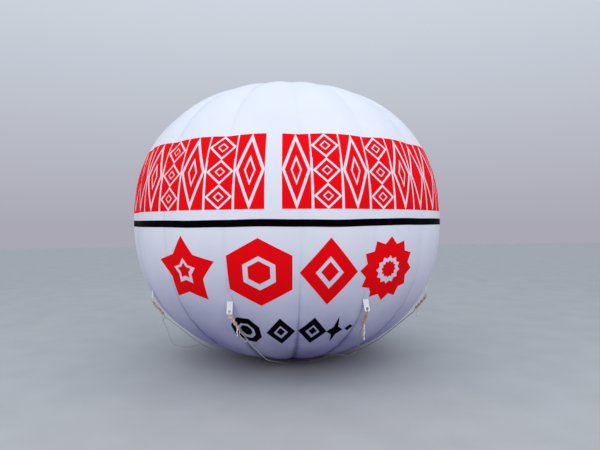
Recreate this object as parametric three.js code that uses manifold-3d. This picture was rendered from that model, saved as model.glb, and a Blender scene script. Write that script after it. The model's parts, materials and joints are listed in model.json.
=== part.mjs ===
import * as THREE from 'three';
import { mergeVertices } from 'three/addons/utils/BufferGeometryUtils.js';
import Module from 'manifold-3d';

const wasm = await Module();
wasm.setup();

// Millimetres and degrees. +Z is up, the ground is z = 0, and the balloon's axis is the Z axis.
// Azimuth 0 is the front, toward -Y, and it grows toward +X.

// Hull outline
const radius = 1800; // at the crests of the lobes, half way up
const halfHeight = 1597;
const fullness = 2.27; // exponent of the outline: 2 is an ellipse, more is fuller
const baseClearance = 16; // from the ground to the film, room for the ring and the ropes
const centreHeight = baseClearance + halfHeight;
const filmThickness = 10;
const lobeDepth = 36; // how far a seam would lie below the crests at the rim of the poles

// Gores and their lapped seams
const goreCount = 16;
const gorePitch = (2 * Math.PI) / goreCount;
const goreRows = 14;
const seamHalfWidth = 16;
const coverMargin = 4; // the facet that a lip lies on runs this far past the lip
const lipRamp = 10;
const lipThickness = 1.5;
const lipLift = 0.6;
const pieceGap = 0.3;

// Discs over the gores' tips
const tipRadius = 170;
const discPlugRadius = 167;
const discRadius = 210;
const discLift = 2.6;
const discThickness = 1.5;
const discSegments = 32;

// Straps, hung from patches on every second seam
const strapHeight = 863; // of the patch's lower end
const strapWidth = 60;
const strapLength = 118;
const strapThickness = 3;
const strapCorner = 12;
const eyeletRadius = 8;
const eyeletFromEnd = 25;
const patchRise = 80;
const patchRows = 3;
const patchLift = 3.2;
const patchThickness = 2.5;

// Rope ends knotted into the eyelets. The ropes pull the knots in toward the hull.
const ropeRadius = 4;
const ropeSides = 8;
const ropeSteps = 44;
const loopTop = 2; // all three from the eyelet's centre, up
const loopSlotEnd = -28;
const loopEnd = -36;
const loopSlotHalf = 4;
const knotRadius = 13.5;
const knotNeckRadius = 7.5;
const knotPitch = 46;
const knotCount = 4;
const knotLean = THREE.MathUtils.degToRad(40); // in from plumb
const whippingRadius = 5.5; // binding that closes the knots, square to the strap's swing
const whippingLength = 4;
const ropeLead = 25; // straight run out of the whipping
const tailKnotRadius = 8;
const tailKnotLength = 16;

// Ring under the balloon, of eight-sided rod that lies on one of its flats
const ringRadius = 40; // to the middle of its rod
const ringRodRadius = 4; // to the rod's corners
const ringRodSides = 8;
const ringFlat = ringRodRadius * Math.cos(Math.PI / ringRodSides);
const ringSegments = 32;

// Filler neck, on a gore's middle at the back
const neckGore = 7;
const neckRow = 3;
const neckFlangeRadius = 80;
const neckFlangeThickness = 12;
const neckTubeRadius = 50;
const neckThroatRadius = 15;
const neckThroatAt = 118;
const neckLength = 200;
const neckSegments = 16;
const tieRadius = 5;

// Rope routes. Columns: distance from the axis, sideways offset, height. They start under the knots,
// and veer is the way that the knots turn to meet them, in degrees sideways.
const ropeRoutes = {
  alongHull: {
    veer: 12,
    points: [
      [1455, 52, 526], [1347, 74, 421], [1247, 88, 339], [1126, 98, 255], [985, 100, 174], [850, 96, 120],
      [720, 98, 80], [600, 120, 34], [500, 150, 10], [420, 150, 5.2], [340, 100, 4.6], [270, 30, 4.5],
      [190, -20, 4.5], [110, 0, 4.5],
    ],
  },
  offHull: {
    veer: 0,
    points: [
      [1455, 0, 528], [1350, -2, 436], [1230, -8, 330], [1095, -12, 219], [930, -8, 118], [820, 8, 64],
      [715, 30, 24], [620, 66, 7], [520, 95, 4.8], [440, 92, 4.6], [360, 35, 4.5], [290, -45, 4.5],
      [200, -40, 4.5], [110, 0, 4.5],
    ],
  },
  sagging: {
    veer: 10,
    points: [
      [1497, 34, 533], [1490, 35, 488], [1478, 36, 438], [1456, 36, 384], [1422, 34, 333], [1372, 31, 289],
      [1300, 27, 257], [1210, 20, 242], [1115, 10, 228], [1020, 0, 199], [930, -9, 160], [820, -18, 112],
      [700, -30, 66], [590, -50, 32], [505, -68, 12], [430, -66, 5], [350, -25, 4.6], [270, 20, 4.5],
      [190, 30, 4.5], [110, 0, 4.5],
    ],
  },
};

// One row for each strap and its rope. side mirrors the route, tail is the rope's free end, and lean
// is how far the strap hangs sideways, as a share of its length.
const tethers = [
  { azimuth: -157.5, route: 'alongHull', side: -1, tail: 90, lean: 0.05 },
  { azimuth: -112.5, route: 'offHull', side: -1, tail: 120, lean: -0.04 },
  { azimuth: -67.5, route: 'offHull', side: 1, tail: 105, lean: 0.02 },
  { azimuth: -22.5, route: 'alongHull', side: 1, tail: 60, lean: -0.06 },
  { azimuth: 22.5, route: 'sagging', side: 1, tail: 130, lean: 0.2 },
  { azimuth: 67.5, route: 'offHull', side: -1, tail: 80, lean: -0.05 },
  { azimuth: 112.5, route: 'sagging', side: -1, tail: 110, lean: 0.08 },
  { azimuth: 157.5, route: 'offHull', side: 1, tail: 70, lean: -0.07 },
];

// Bights: slack line tied to its rope at two shares of the rope's length, hung through points
// given as a route's are.
const bights = [
  {
    tether: 3, from: 0.018, to: 0.312,
    points: [
      [1514, -1, 555], [1520, -10, 547], [1519, -19, 533], [1513, -22, 515], [1503, -21, 489],
      [1482, -14, 432], [1466, -7, 374], [1446, -2, 317], [1413, 0, 266], [1363, -1, 233],
      [1305, -4, 215], [1245, -5, 207], [1184, -8, 210], [1156, -9, 212], [1137, -11, 213], [1124, -12, 218],
    ],
  },
  {
    tether: 4, from: 0.018, to: 0.105,
    points: [
      [1516, 35, 557], [1519, 38, 546], [1516, 42, 535], [1512, 46, 525], [1505, 50, 516],
      [1498, 53, 507], [1490, 56, 499], [1482, 59, 490], [1474, 61, 483], [1465, 62, 475],
      [1455, 64, 469], [1445, 65, 463], [1434, 65, 458], [1423, 65, 455], [1411, 65, 457],
    ],
  },
];

const film = new THREE.MeshStandardMaterial({ color: 0xe6e8f2, roughness: 0.35, metalness: 0 });
const strapFilm = new THREE.MeshStandardMaterial({ color: 0xdfe1ea, roughness: 0.45, metalness: 0 });
const rope = new THREE.MeshStandardMaterial({ color: 0xd9b48a, roughness: 0.9, metalness: 0 });
const steel = new THREE.MeshStandardMaterial({ color: 0xb8bcc2, roughness: 0.3, metalness: 1 });

// Crest outline at the height angle t, from -90 degrees underneath to 90 degrees on top:
// a superellipse, with its unit normal.
function outline(t) {
  const across = Math.abs(Math.cos(t)) ** (2 / fullness);
  const up = Math.sign(Math.sin(t)) * Math.abs(Math.sin(t)) ** (2 / fullness);
  const normal = new THREE.Vector2(
    across ** (fullness - 1) / radius,
    (Math.sign(up) * Math.abs(up) ** (fullness - 1)) / halfHeight,
  ).normalize();
  return { r: radius * across, z: centreHeight + halfHeight * up, across, up, normal };
}

// Height angles of a given radius on the upper half, and of a given height on the lower half.
function angleAtRadius(r) {
  return Math.acos((r / radius) ** (fullness / 2));
}

function angleAtHeight(z) {
  return -Math.asin(((centreHeight - z) / halfHeight) ** (fullness / 2));
}

function polar(r, azimuth, z) {
  return new THREE.Vector3(r * Math.sin(azimuth), -r * Math.cos(azimuth), z);
}

// A point on the lobed hull: each gore bulges as a parabola from seam to seam.
function hullPoint(t, azimuth, offset) {
  const line = outline(t);
  const turn = azimuth / gorePitch;
  const acrossGore = turn - Math.floor(turn);
  const inset = lobeDepth * line.across * (0.5 + 0.5 * Math.abs(line.up) ** 1.5) * (2 * acrossGore - 1) ** 2;
  const lift = offset - inset;
  return polar(line.r + lift * line.normal.x, azimuth, line.z + lift * line.normal.y);
}

function hullNormal(t, azimuth) {
  const { normal } = outline(t);
  return polar(normal.x, azimuth, normal.y);
}

// A closed body from points and triangles, turned so that its faces point out.
function closedBody(points, triangles) {
  let volume = 0;
  for (const [a, b, c] of triangles) {
    volume += points[a].dot(new THREE.Vector3().crossVectors(points[b], points[c]));
  }
  const outward = volume > 0 ? triangles : triangles.map(([a, b, c]) => [a, c, b]);
  const geometry = new THREE.BufferGeometry();
  geometry.setAttribute('position', new THREE.Float32BufferAttribute(points.flatMap((p) => p.toArray()), 3));
  geometry.setIndex(outward.flat());
  return geometry;
}

// A body lofted through rows of like sections. flat is one section in the plane, for its two end faces.
function loft(rows, flat) {
  const count = flat.length;
  const triangles = [];
  for (let i = 0; i < rows.length - 1; i += 1) {
    for (let j = 0; j < count; j += 1) {
      const a = i * count + j;
      const b = i * count + ((j + 1) % count);
      triangles.push([a, b, b + count], [a, b + count, a + count]);
    }
  }
  const last = (rows.length - 1) * count;
  const clockwise = THREE.ShapeUtils.isClockWise(flat);
  for (const [a, b, c] of THREE.ShapeUtils.triangulateShape(flat, [])) {
    const [second, third] = clockwise ? [c, b] : [b, c];
    triangles.push([a, third, second], [last + a, last + second, last + third]);
  }
  return closedBody(rows.flat(), triangles);
}

function solid(geometry) {
  const bare = geometry.clone();
  bare.deleteAttribute('normal');
  bare.deleteAttribute('uv');
  const merged = mergeVertices(bare, 1e-4);
  return new wasm.Manifold(new wasm.Mesh({
    numProp: 3,
    vertProperties: new Float32Array(merged.attributes.position.array),
    triVerts: new Uint32Array(merged.index.array),
  }));
}

function joined(...geometries) {
  const whole = geometries.map(solid).reduce((a, b) => a.add(b));
  const { vertProperties, triVerts } = whole.getMesh();
  const geometry = new THREE.BufferGeometry();
  geometry.setAttribute('position', new THREE.BufferAttribute(vertProperties, 3));
  geometry.setIndex(new THREE.BufferAttribute(triVerts, 1));
  return geometry;
}

// A lathe about +Z. LatheGeometry turns about +Y, so it is stood up.
function turned(profile, segments) {
  const points = profile.map(([r, z]) => new THREE.Vector2(r, z));
  return new THREE.LatheGeometry(points, segments).rotateX(Math.PI / 2);
}

const balloon = new THREE.Group();

function addMesh(parent, name, geometry, material) {
  const mesh = new THREE.Mesh(geometry, material);
  mesh.name = name;
  parent.add(mesh);
  return mesh;
}

// The azimuths of a gore's columns at one row, from its left edge to the ramp of its lip.
function goreColumns(index, r) {
  const seam = index * gorePitch;
  const left = seam - seamHalfWidth / r;
  const cover = seam + (seamHalfWidth + coverMargin) / r;
  const right = seam + gorePitch - (seamHalfWidth + pieceGap) / r;
  const ramp = right - lipRamp / r;
  const third = (ramp - cover) / 3;
  return {
    left, cover, first: cover + third, second: cover + 2 * third, ramp, right, next: seam + gorePitch,
  };
}

// One gore's section at one row: outer face, lip over the next gore's edge, then the inner face back.
function goreSection(index, t) {
  const { r } = outline(t);
  const at = goreColumns(index, r);
  const outer = [at.left, at.cover, at.first, at.second, at.ramp].map((azimuth) => hullPoint(t, azimuth, 0));
  const inner = [at.right, at.second, at.first, at.cover, at.left].map(
    (azimuth) => hullPoint(t, azimuth, -filmThickness),
  );
  const facetStart = hullPoint(t, at.right, 0);
  const facetEnd = hullPoint(t, at.next + (seamHalfWidth + coverMargin) / r, 0);
  const lipFraction = (2 * seamHalfWidth) / (2 * seamHalfWidth + coverMargin);
  const lipEnd = facetStart.clone().lerp(facetEnd, lipFraction);
  const normal = hullNormal(t, at.next);
  const under = lipLift;
  const over = lipLift + lipThickness;
  const lip = [
    facetStart.clone().addScaledVector(normal, over),
    lipEnd.clone().addScaledVector(normal, over),
    lipEnd.clone().addScaledVector(normal, under),
    facetStart.clone().addScaledVector(normal, under),
  ];
  return [...outer, ...lip, facetStart, ...inner];
}

// The same section laid flat, only to work out which corners each end face's triangles join.
const goreFlat = [
  [0, 0], [36, 0], [230, 0], [460, 0], [640, 0],
  [650, 2.1], [682, 2.1], [682, 0.6], [650, 0.6], [650, 0],
  [650, -10], [460, -10], [230, -10], [36, -10], [0, -10],
].map(([x, y]) => new THREE.Vector2(x, y));

// Rows stand at even elevations seen from the hull's centre, from one disc to the other.
function goreRowAngle(row) {
  const tip = outline(angleAtRadius(tipRadius));
  const steepest = Math.atan2(tip.z - centreHeight, tip.r);
  const elevation = steepest * ((2 * row) / goreRows - 1);
  const slope = (Math.abs(Math.tan(elevation)) * radius) / halfHeight;
  return Math.sign(elevation) * Math.atan(slope ** (fullness / 2));
}

function addGores() {
  for (let index = 0; index < goreCount; index += 1) {
    const rows = [];
    for (let row = 0; row <= goreRows; row += 1) {
      rows.push(goreSection(index, goreRowAngle(row)));
    }
    addMesh(balloon, `gore_${String(index + 1).padStart(2, '0')}`, loft(rows, goreFlat), film);
  }
}

// A disc plugs the hole between the gores' tips, with a flange over them. up is 1 on top and -1 below.
function discProfile(up) {
  const level = (r) => outline(up * angleAtRadius(r)).z;
  const top = [0, discRadius / 3, (2 * discRadius) / 3, discRadius].map(
    (r) => [r, level(r) + up * (discLift + discThickness)],
  );
  return [
    ...top,
    [discRadius, level(discRadius) + up * discLift],
    [discPlugRadius, level(discPlugRadius) + up * discLift],
    [discPlugRadius, level(discPlugRadius) - up * filmThickness],
    [0, level(0) - up * filmThickness],
  ];
}

function addDiscs() {
  addMesh(balloon, 'crown_disc', turned(discProfile(1).reverse(), discSegments), film);
  addMesh(balloon, 'base_disc', turned(discProfile(-1), discSegments), film);
}

// A patch folded over the seam: its section follows the lobes at each side and the lip between.
function patchGeometry(azimuth) {
  const rows = [];
  for (let row = 0; row <= patchRows; row += 1) {
    const t = angleAtHeight(strapHeight + (patchRise * row) / patchRows);
    const { r } = outline(t);
    const half = strapWidth / 2;
    const columns = [-half, -seamHalfWidth, seamHalfWidth + coverMargin, half];
    const under = columns.map((side) => hullPoint(t, azimuth + side / r, patchLift));
    const over = columns.map((side) => hullPoint(t, azimuth + side / r, patchLift + patchThickness));
    rows.push([...under, ...over.reverse()]);
  }
  const flat = [[-30, 2], [-16, 0], [20, 0], [30, 2], [30, 4.5], [20, 2.5], [-16, 2.5], [-30, 4.5]];
  return loft(rows, flat.map(([x, y]) => new THREE.Vector2(x, y)));
}

// The strap's hinge line lies just past the middle of the patch's lower end.
function hingePoint(azimuth) {
  const t = angleAtHeight(strapHeight);
  const { r, normal } = outline(t);
  const left = hullPoint(t, azimuth - seamHalfWidth / r, 0);
  const right = hullPoint(t, azimuth + seamHalfWidth / r, 0);
  const lift = patchLift + patchThickness / 2;
  const reach = strapThickness / 2 + pieceGap;
  const down = polar(normal.y, azimuth, -normal.x);
  return left.lerp(right, 0.5).addScaledVector(hullNormal(t, azimuth), lift).addScaledVector(down, reach);
}

function arcPoints(centreX, centreY, arcRadius, from, to, steps) {
  const points = [];
  for (let i = 0; i <= steps; i += 1) {
    const angle = from + ((to - from) * i) / steps;
    const [x, y] = [arcRadius * Math.cos(angle), arcRadius * Math.sin(angle)];
    points.push(new THREE.Vector2(centreX + x, centreY + y));
  }
  return points;
}

// The strap hangs below its hinge line: a flat flap with an eyelet hole and a round upper edge.
function strapGeometry(lean) {
  const half = strapWidth / 2;
  const corner = half - strapCorner;
  const flap = new THREE.Shape([
    new THREE.Vector2(-half, 0),
    ...arcPoints(-corner, strapCorner - strapLength, strapCorner, Math.PI, 1.5 * Math.PI, 3),
    ...arcPoints(corner, strapCorner - strapLength, strapCorner, 1.5 * Math.PI, 2 * Math.PI, 3),
    new THREE.Vector2(half, 0),
  ]);
  const eyeletHeight = eyeletFromEnd - strapLength;
  flap.holes.push(new THREE.Path(arcPoints(0, eyeletHeight, eyeletRadius, 0, 2 * Math.PI, 16).slice(0, -1)));
  const plate = new THREE.ExtrudeGeometry(flap, { depth: strapThickness, bevelEnabled: false });
  plate.rotateX(Math.PI / 2).translate(0, strapThickness / 2, 0);
  const edge = new THREE.CylinderGeometry(strapThickness / 2, strapThickness / 2, strapWidth, 12);
  edge.rotateZ(Math.PI / 2);
  return joined(plate, edge).applyMatrix4(new THREE.Matrix4().makeShear(0, 0, 0, 0, -lean, 0));
}

function rectangle(halfWidth, bottom, top, chamfer) {
  return [
    [-halfWidth, bottom + chamfer], [-halfWidth + chamfer, bottom], [halfWidth - chamfer, bottom],
    [halfWidth, bottom + chamfer], [halfWidth, top - chamfer], [halfWidth - chamfer, top],
    [-halfWidth + chamfer, top], [-halfWidth, top - chamfer],
  ].map(([x, y]) => new THREE.Vector2(x, y));
}

// Where the knots end and which way the rope leaves them, in the strap's frame: x sideways, y in, z up.
// The whipping lies along the radius from the hinge line, so that the swing doesn't press on the rope.
function knotsEnd(veer, lean) {
  const chain = new THREE.Vector3(0, 0, -knotPitch * knotCount);
  chain.applyAxisAngle(new THREE.Vector3(0, 1, 0), -veer);
  chain.applyAxisAngle(new THREE.Vector3(1, 0, 0), knotLean);
  const sideways = lean * (strapLength - eyeletFromEnd);
  const end = chain.add(new THREE.Vector3(sideways, 0, eyeletFromEnd - strapLength + loopEnd));
  return { end, leave: new THREE.Vector3(0, end.y, end.z).normalize() };
}

// The rope's end: a loop through the eyelet, a row of knots, a whipping, and the free tail with its knot.
function knotGeometry(veer, lean, tail) {
  const eyeletHeight = eyeletFromEnd - strapLength;
  const sideways = -lean * eyeletHeight;
  const rod = 2 * ropeRadius;
  const loop = new THREE.Shape(
    rectangle(loopSlotHalf + rod, eyeletHeight + loopEnd, eyeletHeight + loopTop, 2.5),
  );
  loop.holes.push(new THREE.Path(
    rectangle(loopSlotHalf, eyeletHeight + loopSlotEnd, eyeletHeight + loopTop - rod, 1),
  ));
  const loopBody = new THREE.ExtrudeGeometry(loop, { depth: rod, bevelEnabled: false });
  loopBody.rotateX(Math.PI / 2).rotateZ(Math.PI / 2).translate(sideways - ropeRadius, 0, 0);
  const profile = [[0, 4], [knotNeckRadius, 4]];
  for (let i = 0; i < knotCount; i += 1) {
    const top = -i * knotPitch;
    profile.push([knotRadius, top - 0.28 * knotPitch], [knotRadius, top - 0.62 * knotPitch]);
    profile.push([knotNeckRadius, top - 0.9 * knotPitch]);
  }
  const length = knotPitch * knotCount;
  profile.push([whippingRadius, -length], [0, -length]);
  const chain = turned(profile.reverse(), 8);
  chain.rotateY(-veer).rotateX(knotLean).translate(sideways, 0, eyeletHeight + loopEnd);
  const { end, leave } = knotsEnd(veer, lean);
  const whipping = turned([
    [0, -whippingLength], [whippingRadius, -whippingLength],
    [whippingRadius, whippingLength], [0, whippingLength],
  ], 8);
  whipping.applyQuaternion(new THREE.Quaternion().setFromUnitVectors(new THREE.Vector3(0, 0, 1), leave));
  whipping.translate(end.x, end.y, end.z);
  const chainTop = new THREE.Vector3(sideways, 0, eyeletHeight + loopEnd);
  const lastKnot = end.clone().lerp(chainTop, 0.55 / knotCount);
  const tailBody = turned([
    [0, -tail - tailKnotLength], [tailKnotRadius * 0.6, -tail - tailKnotLength],
    [tailKnotRadius, -tail - 0.75 * tailKnotLength], [tailKnotRadius, -tail - 0.25 * tailKnotLength],
    [ropeRadius, -tail], [ropeRadius, 0], [0, 0],
  ], 8);
  tailBody.translate(lastKnot.x, lastKnot.y - 0.6 * knotRadius, lastKnot.z - 0.5 * knotRadius);
  return joined(loopBody, chain, whipping, tailBody);
}

// A tube of rope along a curve through stations: distance from the axis, sideways, height.
function ropePath(azimuth, side, stations) {
  const points = stations.map(([r, offset, z]) => {
    const point = polar(r, azimuth, z);
    point.x += side * offset * Math.cos(azimuth);
    point.y += side * offset * Math.sin(azimuth);
    return point;
  });
  return new THREE.CatmullRomCurve3(points, false, 'centripetal');
}

function ropeGeometry(path, steps) {
  const section = new THREE.Shape(arcPoints(0, 0, ropeRadius, 0, 2 * Math.PI, ropeSides).slice(0, -1));
  return new THREE.ExtrudeGeometry(section, { steps, bevelEnabled: false, extrudePath: path });
}

// A rope leaves the whipping straight, follows its route and ends against the ring.
function mainPath({ azimuth, side, lean }, { veer, points }, hinge) {
  const { end, leave } = knotsEnd(THREE.MathUtils.degToRad(side * veer), lean);
  const hingeRadius = Math.hypot(hinge.x, hinge.y);
  const lead = [whippingLength + pieceGap, whippingLength + ropeLead].map((run) => {
    const point = end.clone().addScaledVector(leave, run);
    return [hingeRadius - point.y, side * point.x, hinge.z + point.z];
  });
  const ringEdge = ringRadius + ringFlat + pieceGap;
  const onGround = ropeRadius + pieceGap;
  const atRing = [[ringEdge + 20, 0, onGround], [ringEdge, 0, onGround]];
  return ropePath(azimuth, side, [...lead, ...points, ...atRing]);
}

// A bight starts and ends square to its rope, on the side away from the hull.
function bightPath(azimuth, rope, { from, to, points }) {
  const tied = [from, to].map((share) => {
    const at = rope.getPointAt(share);
    const run = rope.getTangentAt(share);
    const sideways = new THREE.Vector3(Math.cos(azimuth), Math.sin(azimuth), 0);
    return { at, away: new THREE.Vector3().crossVectors(run, sideways).normalize() };
  });
  const middle = ropePath(azimuth, 1, points).points;
  const near = ropeRadius + pieceGap;
  const far = 2.2 * ropeRadius;
  const [start, end] = tied.map(({ at, away }) => [near, far].map(
    (reach) => at.clone().addScaledVector(away, away.z > 0 ? -reach : reach),
  ));
  return new THREE.CatmullRomCurve3([start[0], start[1], ...middle, end[1], end[0]], false, 'centripetal');
}

function addTethers() {
  tethers.forEach((tether, index) => {
    const { side, tail, lean } = tether;
    const number = index + 1;
    const azimuth = THREE.MathUtils.degToRad(tether.azimuth);
    const route = ropeRoutes[tether.route];
    const hinge = hingePoint(azimuth);
    const hanging = new THREE.Group();
    hanging.position.copy(hinge);
    hanging.rotation.z = azimuth;
    balloon.add(hanging);
    const knots = knotGeometry(THREE.MathUtils.degToRad(side * route.veer), lean, tail);
    const path = mainPath({ azimuth, side, lean }, route, hinge);
    addMesh(balloon, `strap_patch_${number}`, patchGeometry(azimuth), strapFilm);
    addMesh(hanging, `strap_${number}`, strapGeometry(lean), strapFilm);
    addMesh(hanging, `rope_knots_${number}`, knots, rope);
    addMesh(balloon, `rope_${number}`, ropeGeometry(path, ropeSteps), rope);
    bights.filter((bight) => bight.tether === number).forEach((bight) => {
      const slack = bightPath(azimuth, path, bight);
      const steps = Math.round(slack.getLength() / (5 * ropeRadius));
      addMesh(balloon, `rope_bight_${number}`, ropeGeometry(slack, steps), rope);
    });
  });
}

function addRing() {
  const firstCorner = Math.PI / ringRodSides;
  const lastCorner = firstCorner + 2 * Math.PI;
  const rod = arcPoints(ringRadius, ringFlat, ringRodRadius, firstCorner, lastCorner, ringRodSides);
  addMesh(balloon, 'tether_ring', turned(rod.map((p) => [p.x, p.y]), ringSegments), steel);
}

// The neck stands on the flat facet in the middle of a gore, along the facet's normal.
function neckPlace() {
  const corners = [neckRow, neckRow + 1].flatMap((row) => {
    const t = goreRowAngle(row);
    const at = goreColumns(neckGore, outline(t).r);
    return [hullPoint(t, at.first, 0), hullPoint(t, at.second, 0)];
  });
  const [lowLeft, lowRight, highLeft, highRight] = corners;
  const centre = corners.reduce((sum, p) => sum.add(p), new THREE.Vector3()).divideScalar(4);
  const across = lowRight.clone().sub(lowLeft).add(highRight).sub(highLeft);
  const along = highLeft.clone().sub(lowLeft).add(highRight).sub(lowRight);
  const normal = new THREE.Vector3().crossVectors(across, along).normalize();
  if (normal.dot(new THREE.Vector3(centre.x, centre.y, 0)) < 0) {
    normal.negate();
  }
  return { centre, normal };
}

function addNeck() {
  const { centre, normal } = neckPlace();
  const holder = new THREE.Group();
  holder.position.copy(centre).addScaledVector(normal, 2 * pieceGap);
  holder.quaternion.setFromUnitVectors(new THREE.Vector3(0, 0, 1), normal);
  balloon.add(holder);
  const neck = [
    [0, 0], [neckFlangeRadius, 0], [neckFlangeRadius, neckFlangeThickness],
    [neckTubeRadius, neckFlangeThickness + 4], [neckTubeRadius, 60], [neckTubeRadius * 0.7, 92],
    [neckThroatRadius, neckThroatAt - tieRadius - 1], [neckThroatRadius, neckThroatAt + tieRadius + 1],
    [neckTubeRadius * 0.55, neckThroatAt + 25], [neckTubeRadius * 0.8, neckLength - 20],
    [neckTubeRadius * 0.7, neckLength], [0, neckLength],
  ];
  addMesh(holder, 'filler_neck', turned(neck, neckSegments), film);
  const tieAt = neckThroatRadius + pieceGap + tieRadius;
  const tie = arcPoints(tieAt, neckThroatAt, tieRadius, 0, 2 * Math.PI, 8);
  addMesh(holder, 'neck_tie', turned(tie.map((p) => [p.x, p.y]), neckSegments), rope);
}

addGores();
addDiscs();
addTethers();
addRing();
addNeck();

export default balloon;
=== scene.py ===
import json
import math

import bpy
import numpy as np
from mathutils import Matrix, Vector


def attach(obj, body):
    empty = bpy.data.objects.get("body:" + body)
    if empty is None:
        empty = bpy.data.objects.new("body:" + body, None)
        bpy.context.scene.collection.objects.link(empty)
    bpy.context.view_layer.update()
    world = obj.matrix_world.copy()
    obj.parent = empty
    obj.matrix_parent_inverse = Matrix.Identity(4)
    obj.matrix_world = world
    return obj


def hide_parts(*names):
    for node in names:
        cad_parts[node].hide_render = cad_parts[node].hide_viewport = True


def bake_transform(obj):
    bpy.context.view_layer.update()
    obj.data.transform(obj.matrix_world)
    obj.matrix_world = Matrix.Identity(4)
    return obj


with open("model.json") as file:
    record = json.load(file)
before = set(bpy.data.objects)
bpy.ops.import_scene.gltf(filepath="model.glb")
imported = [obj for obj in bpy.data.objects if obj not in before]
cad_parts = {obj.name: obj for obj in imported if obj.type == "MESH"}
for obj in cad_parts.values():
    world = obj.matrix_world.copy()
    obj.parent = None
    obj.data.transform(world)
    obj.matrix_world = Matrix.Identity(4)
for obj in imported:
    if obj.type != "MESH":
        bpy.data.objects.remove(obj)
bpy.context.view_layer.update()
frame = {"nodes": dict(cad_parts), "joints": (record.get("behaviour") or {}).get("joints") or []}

print("frame loaded,", len(frame["nodes"]), "nodes")

# Metres. +Z is up, the ground is z = 0, azimuth 0 is the front, toward -Y, and it grows toward +X.
hull = {
    "radius": 1.8,  # at the crests of the lobes
    "halfHeight": 1.597,
    "fullness": 2.27,  # 2 is an ellipse, more is fuller
    "baseClearance": 0.016,
    "filmThickness": 0.010,
    "lobeDepth": 0.036,
    "gores": 16,
    "tipRadius": 0.170,
}
lap = {
    "halfWidth": 0.016,
    "ramp": 0.010,
    "height": 0.0021,
    "lift": 0.0006,
    "gap": 0.0003,
    "clear": 0.012,  # how far the ink's step reaches past the lap on both sides
}
relief = {
    "seed": 11,
    # puckers: wave length along the seam, depth, reach out from the seam, slant of the wave
    "puckers": [
        (0.062, 0.00042, 0.040, -7),
        (0.094, 0.00070, 0.065, 9),
        (0.151, 0.0011, 0.110, -7),
        (0.240, 0.0015, 0.170, 9),
    ],
    "puckerShares": (0.45, 1.5, 0.6),  # everywhere, more toward the bottom, more toward the top
    "puckerLow": (-0.25, -0.85),  # this zone and the next ones are shares of the half height
    "high": (0.6, 0.95),
    "pinch": 0.010,  # the seams draw in near the bottom, and a little near the top
    "pinchReach": 0.036,
    "pinchLow": (-0.45, -0.90),
    "pinchHighShare": 0.20,
    "swell": 0.0026,  # slow unevenness of the whole hull
    "swellWaves": [(0.5, 3, 2.3), (0.35, 5, -3.9), (0.25, 9, 5.1)],  # share, lobes round the hull, climb
    "calmRadius": 0.12,  # round each strap patch
    "fadeIn": (0.20, 0.50),  # distances from the axis
}
centreHeight = hull["baseClearance"] + hull["halfHeight"]
gorePitch = 2 * math.pi / hull["gores"]
random = np.random.default_rng(relief["seed"])
puckerPhase = random.uniform(0, 2 * math.pi, (hull["gores"], len(relief["puckers"])))
swellPhase = random.uniform(0, 2 * math.pi, len(relief["swellWaves"]))


def outline(t):
    # Superellipse: r = a |cos t|^(2/n), z = b |sin t|^(2/n), with its unit normal and its two shares
    n = hull["fullness"]
    across = np.abs(np.cos(t)) ** (2 / n)
    up = np.sign(np.sin(t)) * np.abs(np.sin(t)) ** (2 / n)
    normalR = across ** (n - 1) / hull["radius"]
    normalZ = np.sign(up) * np.abs(up) ** (n - 1) / hull["halfHeight"]
    size = np.hypot(normalR, normalZ)
    r = hull["radius"] * across
    z = centreHeight + hull["halfHeight"] * up
    return r, z, normalR / size, normalZ / size, across, up


def angleAtElevation(elevation):
    # tan t = (tan e * a / b)^(n/2), for the point seen at elevation e from the hull's centre
    n = hull["fullness"]
    rise = (np.abs(np.sin(elevation)) / hull["halfHeight"]) ** (n / 2)
    run = (np.abs(np.cos(elevation)) / hull["radius"]) ** (n / 2)
    return np.sign(elevation) * np.arctan2(rise, run)


def angleAtRadius(r):
    # cos t = (r / a)^(n/2), on the upper half
    return np.arccos((np.asarray(r, float) / hull["radius"]) ** (hull["fullness"] / 2))


def angleAtHeight(z):
    # sin t = ((z - centre) / b)^(n/2), with its sign
    share = (np.asarray(z, float) - centreHeight) / hull["halfHeight"]
    return np.sign(share) * np.arcsin(np.abs(share) ** (hull["fullness"] / 2))


meridianAngles = angleAtElevation(np.linspace(-math.pi / 2, math.pi / 2, 6001))
meridianR, meridianZ = outline(meridianAngles)[:2]
meridianArc = np.concatenate([[0], np.cumsum(np.hypot(np.diff(meridianR), np.diff(meridianZ)))])


def arcAt(t):
    # Length of the meridian from the hull's bottom up to angle t, read off the table
    return np.interp(t, meridianAngles, meridianArc)


def angleAtArc(arc):
    # The other way round
    return np.interp(arc, meridianArc, meridianAngles)


def smooth(edge0, edge1, x):
    # 3x^2 - 2x^3 between the two edges
    share = np.clip((x - edge0) / (edge1 - edge0), 0, 1)
    return share * share * (3 - 2 * share)


def runLengths(path):
    # Distance walked to each point of a path
    return np.concatenate([[0], np.cumsum(np.linalg.norm(np.diff(path, axis=0), axis=1))])


def fullTurn(count):
    # Even angles once round, the last one short of the first
    return np.linspace(0, 2 * math.pi, count, endpoint=False)


def unit(vectors):
    # Each vector over its own length
    return vectors / np.linalg.norm(vectors, axis=-1, keepdims=True)


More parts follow.
